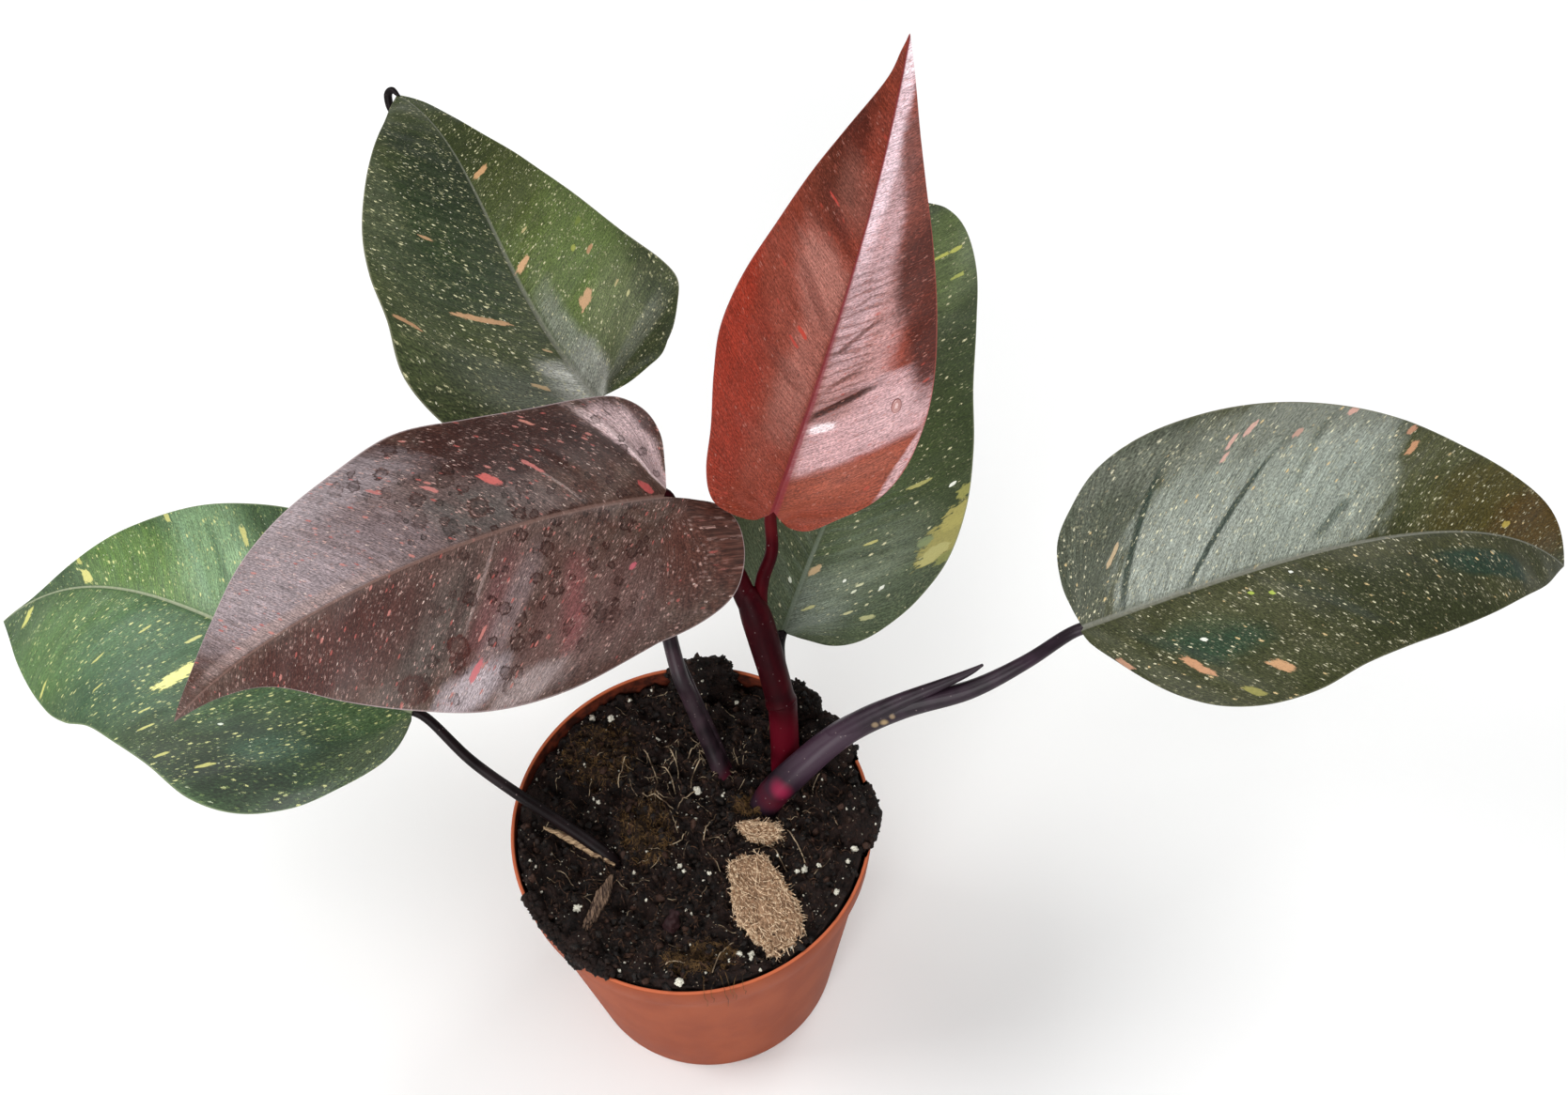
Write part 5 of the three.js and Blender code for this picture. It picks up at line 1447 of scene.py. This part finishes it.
back_left_skin = leaf_finish(
    "back left leaf", "313a1e", "3f4628", 0.42,
    # The pale grey b6b8b0 at the base, with its streaks 7d8275 and 666b5c, is painted sheen.
    zones=(
        ("566532", 44, 24, 34, 28, 0, 0.85, 0.9), ("596a36", 26, 32, 22, 20, 0, 0.8, 0.9),
        ("69724c", 4, 30, 14, 16, 0, 0.6, 1.0), ("223019", 56, -20, 28, 18, 0, 0.8, 0.9),
        ("1c2814", 96, -8, 26, 18, 0, 0.9, 0.9), ("464c38", 60, -42, 50, 9, 0, 0.65, 0.9),
        ("3c431c", 84, 18, 24, 14, 0, 0.7, 1.0), ("2a320f", 116, 6, 22, 12, 0, 0.7, 0.9),
        ("b6b8b0", 2, 0, 12, 13, 0, 0.98, 0.7), ("7d8275", 16, 6, 22, 6, 0, 0.75, 1.0),
        ("666b5c", -10, 30, 3.4, 24, 0, 0.7, 0.8), ("5b6053", -2, -22, 9, 18, 0, 0.55, 1.0),
        ("394028", 10, -44, 26, 12, 0, 0.6, 1.0), ("28341f", 34, -34, 16, 12, 0, 0.5, 1.0),
    ),
    blade=back_left_blade,
    flecks=(
        ("8f8f66", 0.6, 1.8, 0.28, 0.34, 0.55), ("c2be94", 0.9, 2.8, 0.20, 0.26, 0.85),
        ("d8d3a8", 1.6, 3.0, 0.17, 0.28, 0.92), ("ece8cc", 1.5, 1.6, 0.13, 0.18, 0.9),
    ),
    splashes=(
        ("c79a6e", 94.2, 5.9, 3.6, 1.3, 0), ("b08c68", 52.6, -28.3, 2.4, 0.7, 0),
        ("cda27a", 50.6, 4.4, 3.8, 1.5, 0), ("b58a64", 28.8, 34.5, 2.2, 0.9, 0),
        ("c9a07a", 18.6, 21.6, 3.6, 2.2, 0), ("bd946e", 24, -21.5, 9.6, 1.1, -16),
        ("a9825f", 7.3, -49.5, 3.2, 1.0, 0), ("b59a72", 1.5, -16.5, 2.4, 0.8, 0),
        ("b59a72", 18.3, -4.8, 1.6, 0.5, 0), ("9aa04a", 36, 28, 1.4, 1.0, 0),
        ("6f7d3a", 42, 36, 1.8, 1.2, 0), ("b8a878", 8, 38, 1.6, 0.6, 0),
        ("b8a878", 60, 12, 1.6, 0.5, 0), ("c4c08a", 0, 40, 1.4, 0.5, 0),
    ),
    ripples=("4d5340", 40, -20, 60, 30, 4.8, 0.25),
    rib=("8c8c80", 1.2, 0.3, 130, 0.45), gloss=0.45, shine=0.2, dots="6f7350", edge="8a8a70",
)
back_left_mesh = blade_mesh("back_left_leaf", back_left_blade, back_left_skin, green_under)
back_left_leaf = stand(back_left_mesh)
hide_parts("blade_back_left")


# The low left leaf hangs out over the lip on a thin dark petiole: fresh green with yellow-green
# flecks, pale yellow splashes and a pale midrib, and its margin is waved.
low_left_blade = Blade(
    midrib=((-83, 41, 135), (-130, 63, 152), (-176, 124, 150), (-226, 119, 113)),
    face=((-0.05, -0.30, 0.95), (-0.30, -0.10, 0.95)),
    fold={"right": (12, 0), "left": (12, 4)},
    bend={"right": (-20, -30), "left": (-20, -20)},
    wave=(1.8, 2.5, 0.5),
    margin=(
        (-1, 2, -1, 3), (-3, 9, -1, 8), (-3, 18, 0, 14), (0, 27, 3, 21), (8, 35, 10, 31),
        (19, 41, 20, 43), (33, 45, 34, 52.2), (50, 47, 50, 55), (68, 46, 69, 51.6),
        (86, 42.4, 89, 49.4), (104, 35.8, 108, 47.2), (122, 23.4, 128, 47), (140, 9.4, 146, 42),
        (156, 1.6, 161, 28.6), (174, 0, 174, 0),
    ),
    # The dark furrow colours are painted shade in their grooves; the pale 7f9a78 and 7b9a78 on raised ridges
    # are painted highlight.
    furrows=(
        ("304a2c", (33, -8), (30, -44), 2.2, 0.6, 0.4), ("3e5c3a", (62, -8), (60, -40), 2.2, 0.4, 0.3),
        ("7f9a78", (54, 6), (60, 44), 2.6, -0.5, 0.6), ("3a5838", (66, 6), (70, 36), 2.2, 0.5, 0.5),
        ("4a6a3e", (92, -8), (92, -34), 2.6, 0.5, 0.3), ("7b9a78", (76, 6), (82, 34), 2.0, -0.3, 0.5),
    ),
)
low_left_skin = leaf_finish(
    "low left leaf", "344a2a", "425838", 0.38,
    # The pale grey-green 82a076 is painted sheen.
    zones=(
        ("5b7a38", 104, 12, 24, 18, 0, 0.85, 0.9), ("55743f", 118, -24, 34, 24, 0, 0.75, 1.0),
        ("82a076", 70, 26, 17, 24, 0, 0.8, 1.0), ("49674a", 84, -20, 24, 18, 0, 0.7, 1.0),
        ("3c5a42", 62, -44, 30, 12, 0, 0.5, 1.0), ("263626", 8, -40, 20, 20, 0, 0.85, 0.9),
        ("1e2b1a", 12, -54, 20, 10, 0, 0.8, 0.9), ("505b46", -12, -16, 9, 18, 0, 0.8, 1.0),
        ("2a3a1c", 30, -50, 16, 10, 0, 0.7, 1.0), ("425e4a", 8, -36, 7, 8, 0, 0.5, 1.0),
        ("475440", -16, -34, 6, 16, 0, 0.6, 1.0),
    ),
    blade=low_left_blade,
    flecks=(
        ("7c9052", 0.6, 1.8, 0.29, 0.36, 0.6), ("b9bf82", 0.9, 2.8, 0.21, 0.28, 0.9),
        ("d6d690", 1.8, 3.6, 0.18, 0.26, 0.95), ("d2dcb8", 1.6, 1.7, 0.12, 0.18, 0.85),
    ),
    splashes=(
        ("f0ec96", 57.0, -26.5, 8.6, 2.6, -10), ("d3cf7c", 129, 4.6, 3.2, 1.9, 0),
        ("cfcb80", 55.2, 36.6, 3.8, 1.2, 0), ("cfcd74", 155.6, -6.5, 3.6, 1.4, 0),
        ("cdc974", 113.6, -43.1, 3.6, 0.9, 0), ("cfcd84", 70.7, -11, 2.8, 0.7, 0),
        ("c2c070", 129.5, 12.4, 2.4, 0.8, 0), ("c9c77a", 86.5, 35, 2.0, 1.0, 0),
        ("c2c070", 8.4, -52.9, 2.4, 0.9, 0), ("c2c070", 20.2, -57.0, 2.4, 0.7, 0),
        ("c9c77a", 37.9, -49.8, 2.4, 0.6, 0), ("c9c77a", 88, -14, 2.6, 0.5, 0),
        ("dcdca4", 66, 3, 1.8, 0.7, 0), ("c2c070", 92, -30, 2.6, 0.5, 0),
        ("c9c77a", 60, 12, 1.4, 0.5, 0), ("c9c77a", 48, -44, 2.0, 0.5, 0),
        ("c2c070", 76, -42, 2.0, 0.5, 0), ("e4ecd8", 26, -36, 0.6, 0.6, 0),
    ),
    ripples=("4c6a4c", 70, 10, 70, 40, 5.2, 0.25),
    rib=("a3a98a", 0.9, 0.4, 170, 0.75), gloss=0.42, shine=0.35, dots="6b8056", edge="8a9a72",
)
low_left_mesh = blade_mesh("low_left_leaf", low_left_blade, low_left_skin, green_under)
low_left_leaf = stand(low_left_mesh)
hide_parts("blade_low_left")


# The stem and the petioles are round, fleshy and satin, from wine red to almost black. Each is a
# tube along a smooth path that runs on under its leaf; a sheath is a thinner tube along its top.
STALK_STEPS = 9
STALK_SIDES = 32
THIN_SIDES = 20
CAP_RINGS = (0.05, 0.4, 0.75, 0.93)
RIDGE_TURN = 24
RIDGE_SPREAD = 9


def stalk_parts(rows, top=(0, 0, 1), sides=STALK_SIDES):
    """Points, faces and a map for a stalk. A row is x, y, z, radius and how far two low ridges
    stand out beside its top, all in millimetres; the map runs round and along the stalk."""
    rows = smooth_rows([tuple(row) + (0,) * (5 - len(row)) for row in rows], STALK_STEPS)
    centres = rows[:, :3]
    along = np.gradient(centres, axis=0)
    along /= np.linalg.norm(along, axis=1)[:, None]
    travel = np.concatenate([[0], np.cumsum(np.linalg.norm(np.diff(centres, axis=0), axis=1))])
    stations = [(0, c) for c in CAP_RINGS]
    stations += [(i, 1.0) for i in range(len(rows))]
    stations += [(len(rows) - 1, c) for c in CAP_RINGS[::-1]]
    points, place = [], []
    angles = np.linspace(0, math.tau, sides, endpoint=False)
    for order, (i, shrink) in enumerate(stations):
        across = np.cross(along[i], top)
        across /= np.linalg.norm(across)
        lift = np.cross(across, along[i])
        radius = rows[i, 3]
        cap = radius * math.sqrt(max(0.0, 1 - shrink ** 2)) * (-1 if order < len(CAP_RINGS) else 1)
        for angle in angles:
            from_top = math.degrees((angle - math.pi / 2 + math.pi) % math.tau - math.pi)
            ridges = sum(math.exp(-((from_top - side * RIDGE_TURN) / RIDGE_SPREAD) ** 2) for side in (-1, 1))
            reach = (radius + rows[i, 4] * ridges) * shrink
            points.append(centres[i] + along[i] * cap + across * reach * math.cos(angle)
                          + lift * reach * math.sin(angle))
            place.append((angle / math.tau, travel[i] * MM))
    faces, corners = [], []
    for i in range(len(stations) - 1):
        for k in range(sides):
            after = (k + 1) % sides
            a, b = i * sides + k, i * sides + after
            faces.append((a, b, b + sides, a + sides))
            wrap = 1.0 if after == 0 else 0.0
            corners += [place[a], (place[b][0] + wrap, place[b][1]),
                        (place[b + sides][0] + wrap, place[b + sides][1]), place[a + sides]]
    for start, ring in ((0, range(sides)[::-1]), ((len(stations) - 1) * sides, range(sides))):
        faces.append(tuple(start + k for k in ring))
        corners += [place[start + k] for k in ring]
    return points, faces, corners


def stalk_mesh(name, material, *stalks):
    """Joins the parts of one or more stalks in one mesh."""
    points, faces, corners = [], [], []
    for more_points, more_faces, more_corners in stalks:
        faces += [tuple(index + len(points) for index in face) for face in more_faces]
        points += more_points
        corners += more_corners
    mesh = new_mesh(name, points, faces, material)
    layer = mesh.uv_layers.new(name="stalk")
    layer.data.foreach_set("uv", np.array(corners, np.float32).ravel())
    return mesh


def stalk_finish(name, skin, light, patches, roughness=0.4, shine=0.25):
    """Satin skin with fine lines along it, pale specks, and patches of another colour, each
    given as a colour, x, y, z and radius in millimetres."""
    finish = Finish(name, roughness, shine)
    lines = finish.grain(finish.stretch(finish.map("stalk"), (60, 12, 1)), 4.0, 0.6)
    broad = finish.mottle((9, 9, 9), 2.0)
    colour = finish.shades(broad, 0.35, 0.7, skin, light)
    colour = finish.tint(finish.ease(lines, 0.4, 0.75, 0, 0.35), colour, paint(light))
    for code, x, y, z, radius in patches:
        away = finish.length(finish.local(finish.object_place, (x, y, z), (radius, radius, radius)))
        away = finish.sum("ADD", away, finish.times(broad, 0.4))
        colour = finish.tint(finish.ease(away, 1.2, 0.5), colour, paint(code))
    gap, choice, bright = finish.cells(finish.stretch(finish.object_place, (1.4, 1.4, 1.4)))
    size = finish.ease(bright, 0, 1, 0.06, 0.2)
    dots = finish.times(finish.ease(finish.sum("DIVIDE", gap, size), 1.0, 0.6),
                        finish.ease(choice, 0.66, 0.7))
    colour = finish.tint(finish.times(dots, 0.45), colour, paint("9a8785"))
    finish.bump(lines, 0.08)
    return finish.colour(colour)


# The bright a82038 patch is the crimson node ring with a painted highlight laid on it.
WINE_PATCHES = (
    ("560b19", 34.2, 19.5, 121, 15), ("a82038", 34.9, 22.8, 132.7, 5.2), ("6a0d20", 33, 12, 104, 11),
)
# The 8a1d3f spot is a painted highlight on the crimson base of the right petiole.
DUSK_PATCHES = (
    ("3c2a37", 46, 7.5, 124, 22), ("6a1428", 28.5, 4.4, 106, 8), ("8a1d3f", 30.5, 2.3, 112.8, 5),
    ("87735a", 62.4, 6.3, 136.6, 1.5), ("a08864", 65.2, 5.4, 137.8, 1.9),
    ("87735a", 68, 6.5, 139.9, 1.3),
)
RED_PATCHES = (("501216", 40, 57, 186, 9), ("220408", 33, 40, 160, 7))
wine = stalk_finish("wine stalk", "240207", "36040b", WINE_PATCHES, 0.45, 0.06)
dusk = stalk_finish("dusk stalk", "190d16", "2f1f2b", DUSK_PATCHES, 0.4, 0.25)
dark_dusk = stalk_finish("dark dusk stalk", "1a1016", "38282f", (("4a1524", 16, 14, 99, 9),), 0.42, 0.25)
black = stalk_finish("dark stalk", "0d0607", "1b1113", (("231a1c", -60, 24, 116, 8),), 0.45, 0.12)
red_stalk = stalk_finish("red stalk", "2c0208", "42050d", RED_PATCHES, 0.5, 0.04)

TRUNK = (
    (32, 10, 74, 4.2), (33.5, 13.5, 101, 4.7), (34.5, 17.5, 115, 4.7), (35.1, 21.6, 130.3, 4.75),
    (34.9, 22.8, 132.7, 5.2), (34.6, 23.9, 135, 4.8), (33.6, 28.2, 143, 4.8), (32, 34.7, 153, 5),
    (30.6, 39, 161, 4.9), (28.8, 42.6, 167.6, 3.6),
)
PURPLE_ARM = (
    (32, 34.5, 153, 2.5, 0), (28.4, 42, 166, 3.5, 0.5), (25.5, 48, 175, 3.3, 0.8),
    (20, 52, 183, 2.9, 0.3), (12, 55, 191, 2.4, 0), purple_blade.seat(-2, 2.2),
    purple_blade.seat(5, 1.9), purple_blade.seat(12, 0.9),
)
stem_mesh = stalk_mesh("stem", wine, stalk_parts(TRUNK, (0, 1, 0)), stalk_parts(PURPLE_ARM, (0, 1, 0)))
stem = stand(stem_mesh)
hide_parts("main_stem")

RED_PETIOLE = (
    (33, 35, 153, 1.9), (32.8, 41.5, 163, 2.1), (34.4, 45.5, 171, 2.2), (38.4, 50, 179, 2),
    red_blade.seat(-2, 1.9), red_blade.seat(5, 1.6), red_blade.seat(11, 0.8),
)
red_petiole_mesh = stalk_mesh("red_leaf_petiole", red_stalk, stalk_parts(RED_PETIOLE, (0, 1, 0)))
red_petiole = stand(red_petiole_mesh)
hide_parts("petiole_red")

RIGHT_PETIOLE = (
    (20, 1.5, 78, 4.6, 0), (25.2, 3.6, 101, 5.2, 0), (36.6, 6, 116, 5.1, 0), (53.6, 10, 129, 4.5, 0.2),
    (71.7, 9.2, 139.6, 3.7, 0.4), (92.5, 7, 147.3, 3, 0.2), (110, 8.3, 155.9, 2.3, 0),
    right_blade.seat(-5, 2), right_blade.seat(4, 1.8), right_blade.seat(12, 0.8),
)
RIGHT_SHEATH = (
    (50, 9.8, 128.6, 3.2), (60, 10, 135.6, 3.4), (72, 9.6, 143.4, 2.6), (85, 9.6, 149.6, 1.7),
    (93, 9.8, 153.4, 1.1), (97, 10, 156, 0.5),
)
right_petiole_mesh = stalk_mesh("right_leaf_petiole", dusk, stalk_parts(RIGHT_PETIOLE),
                                stalk_parts(RIGHT_SHEATH))
right_petiole = stand(right_petiole_mesh)
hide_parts("petiole_right")

BACK_LEFT_PETIOLE = (
    (16, 12, 80, 2.6, 0), (12.7, 18.1, 101, 3, 0), (10, 24.5, 112, 2.9, 0), (6.2, 32.4, 128, 2.8, 0),
    (3.4, 40, 141, 2.6, 0), (0, 78, 165, 2.3, 0), (-6, 104, 177, 2.1, 0), back_left_blade.seat(-5, 2),
    back_left_blade.seat(4, 1.7), back_left_blade.seat(12, 0.8),
)
BACK_LEFT_SHEATH = (
    (15.8, 18.6, 98, 1.2), (12.6, 25.2, 112, 1.3), (8.6, 32.4, 127.5, 1.2), (5, 42, 142, 0.4),
)
back_left_petiole_mesh = stalk_mesh(
    "back_left_petiole", dark_dusk, stalk_parts(BACK_LEFT_PETIOLE, (1, 0, 0)),
    stalk_parts(BACK_LEFT_SHEATH, (1, 0, 0), THIN_SIDES))
back_left_petiole = stand(back_left_petiole_mesh)
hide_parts("petiole_back_left")

LOW_LEFT_PETIOLE = (
    (-22, -11, 90, 2), (-29.7, -4, 101.5, 2.2), (-41.1, 6, 106.8, 2), (-54, 17.3, 110.6, 1.9),
    (-67.7, 28.6, 119.2, 1.8), low_left_blade.seat(-5, 1.6), low_left_blade.seat(4, 1.5),
    low_left_blade.seat(11, 0.7),
)
low_left_petiole_mesh = stalk_mesh("low_left_petiole", black, stalk_parts(LOW_LEFT_PETIOLE))
low_left_petiole = stand(low_left_petiole_mesh)
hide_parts("petiole_low_left")

BACK_RIGHT_PETIOLE = (
    (34, 24, 82, 2.2), (35.8, 27.5, 101, 2.4), (36.8, 34, 115, 2.2), (37.2, 38, 126, 2),
    back_right_blade.seat(-4, 1.9), back_right_blade.seat(4, 1.6), back_right_blade.seat(11, 0.8),
)
back_right_petiole_mesh = stalk_mesh(
    "back_right_petiole", black, stalk_parts(BACK_RIGHT_PETIOLE, (0, 1, 0)))
back_right_petiole = stand(back_right_petiole_mesh)
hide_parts("petiole_back_right")

CURLED_TIP = (
    (-61.5, 262, 197, 0.6), (-63.6, 265.6, 197, 1.2), (-65.6, 266, 195, 1.5),
    (-65.8, 263.4, 191.4, 1.4), (-64.8, 260.4, 188, 0.6),
)
curled_mesh = stalk_mesh("curled_tip", black, stalk_parts(CURLED_TIP, (1, 0, 0), THIN_SIDES))
stand(curled_mesh)


# Two remnants of dead leaves lie in the soil: the maroon stump of an old petiole with a torn top,
# and the papery strip of an old sheath against the low left petiole.
STUB = ((-13.5, -37, 88, 2.4), (-12.4, -35, 99, 2.5), (-11.4, -33.4, 103, 2.3), (-10.2, -31.8, 106.6, 1.5))
DRY_SHEATH = (
    (-27, -8.4, 100.6, 0.4), (-33, -3.6, 102.2, 1.2), (-40, 2.0, 103.9, 1.3), (-47.5, 6.6, 105.8, 0.4),
)


def weather(mesh, grain, knock):
    """Roughens a mesh with lumps of that grain and height, in millimetres."""
    for vertex in mesh.vertices:
        push = noise.fractal(vertex.co / (grain * MM), 0.8, 2.1, 3)
        vertex.co += vertex.normal * knock * MM * push
    return mesh


maroon = stalk_finish("old stub", "241012", "3b1e1f", (), 0.7)
stub_mesh = stalk_mesh("old_leaf_stub", maroon, stalk_parts(STUB, (0, 1, 0)))
stub = stand(weather(stub_mesh, 1.6, 0.8))
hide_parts("leaf_stub")
papery = Finish("papery sheath", 0.7, 0.3)
creased = papery.mottle((4, 0.6, 1), 4.0, turn=38)
papery.bump(creased, 0.4)
papery_skin = papery.colour(papery.shades(creased, 0.35, 0.65, "5e4632", "b89c7a"))
strip_mesh = stalk_mesh("dry_sheath_strip", papery_skin, stalk_parts(DRY_SHEATH, (1, 1, 1)))
dry_sheath = stand(weather(strip_mesh, 1.2, 0.5))
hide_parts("dry_sheath")


# The studio is a plain pale floor under soft light: a panel at the left, a lower one at the
# front and one behind to the right, with weak even light all round. The camera looks down from
# the front.
FLOOR_HALF = 6.0
pale = Finish("pale floor", 0.9, 0.1)
floor_skin = pale.colour(pale.tint(pale.mottle((300, 300, 300)), paint("f8f8f7"), paint("fcfcfc")))
floor_mesh = bpy.data.meshes.new("floor")
floor_corners = ((-1, -1), (1, -1), (1, 1), (-1, 1))
floor_mesh.from_pydata([(x * FLOOR_HALF, y * FLOOR_HALF, 0) for x, y in floor_corners],
                       [], [(0, 1, 2, 3)])
floor_mesh.materials.append(floor_skin)
floor = bpy.data.objects.new("floor", floor_mesh)
bpy.context.scene.collection.objects.link(floor)

SKY_STRENGTH = 0.38
LIGHT_TARGET = Vector((0.02, 0.06, 0.16))


def panel(name, azimuth, height, distance, size, power):
    """A square soft light that faces the plant. Angles are in degrees, sizes in metres."""
    light = bpy.data.lights.new(name, "AREA")
    light.shape = "SQUARE"
    light.size = size
    light.energy = power
    lamp = bpy.data.objects.new(name, light)
    azimuth, height = math.radians(azimuth), math.radians(height)
    way = Vector((math.cos(azimuth) * math.cos(height), math.sin(azimuth) * math.cos(height),
                  math.sin(height)))
    turn = (-way).to_track_quat("-Z", "Y").to_matrix().to_4x4()
    lamp.matrix_world = Matrix.Translation(LIGHT_TARGET + way * distance) @ turn
    bpy.context.scene.collection.objects.link(lamp)


panel("left window", 168, 42, 1.8, 1.1, 19)
panel("front window", -112, 26, 1.7, 1.0, 19)
panel("back window", 28, 50, 1.9, 1.0, 16)

world = bpy.data.worlds.new("studio")
bpy.context.scene.world = world
world.use_nodes = True
sky = world.node_tree.nodes["Background"].inputs
sky["Color"].default_value = paint("f4f5f6")
sky["Strength"].default_value = SKY_STRENGTH
bpy.context.scene.view_settings.view_transform = "Standard"

CAMERA_PLACE = Vector((0, -0.280, 0.660))
CAMERA_YAW = math.radians(7.3)
CAMERA_PITCH = math.radians(55.3)
CAMERA_ROLL = math.radians(-3.4)
FOCAL_LENGTH = 43.14
SENSOR_WIDTH = 36
ahead = Vector((math.sin(CAMERA_YAW) * math.cos(CAMERA_PITCH), math.cos(CAMERA_YAW) * math.cos(CAMERA_PITCH),
                -math.sin(CAMERA_PITCH)))
level = Vector((math.cos(CAMERA_YAW), -math.sin(CAMERA_YAW), 0))
upright = level.cross(ahead)
rightward = math.cos(CAMERA_ROLL) * level + math.sin(CAMERA_ROLL) * upright
upward = -math.sin(CAMERA_ROLL) * level + math.cos(CAMERA_ROLL) * upright
camera_data = bpy.data.cameras.new("camera")
camera_data.sensor_width = SENSOR_WIDTH
camera_data.lens = FOCAL_LENGTH
camera_data.clip_start = 0.01
camera = bpy.data.objects.new("camera", camera_data)
turn = Matrix((rightward, upward, -ahead)).transposed().to_4x4()
camera.matrix_world = Matrix.Translation(CAMERA_PLACE) @ turn
bpy.context.scene.collection.objects.link(camera)
bpy.context.scene.camera = camera
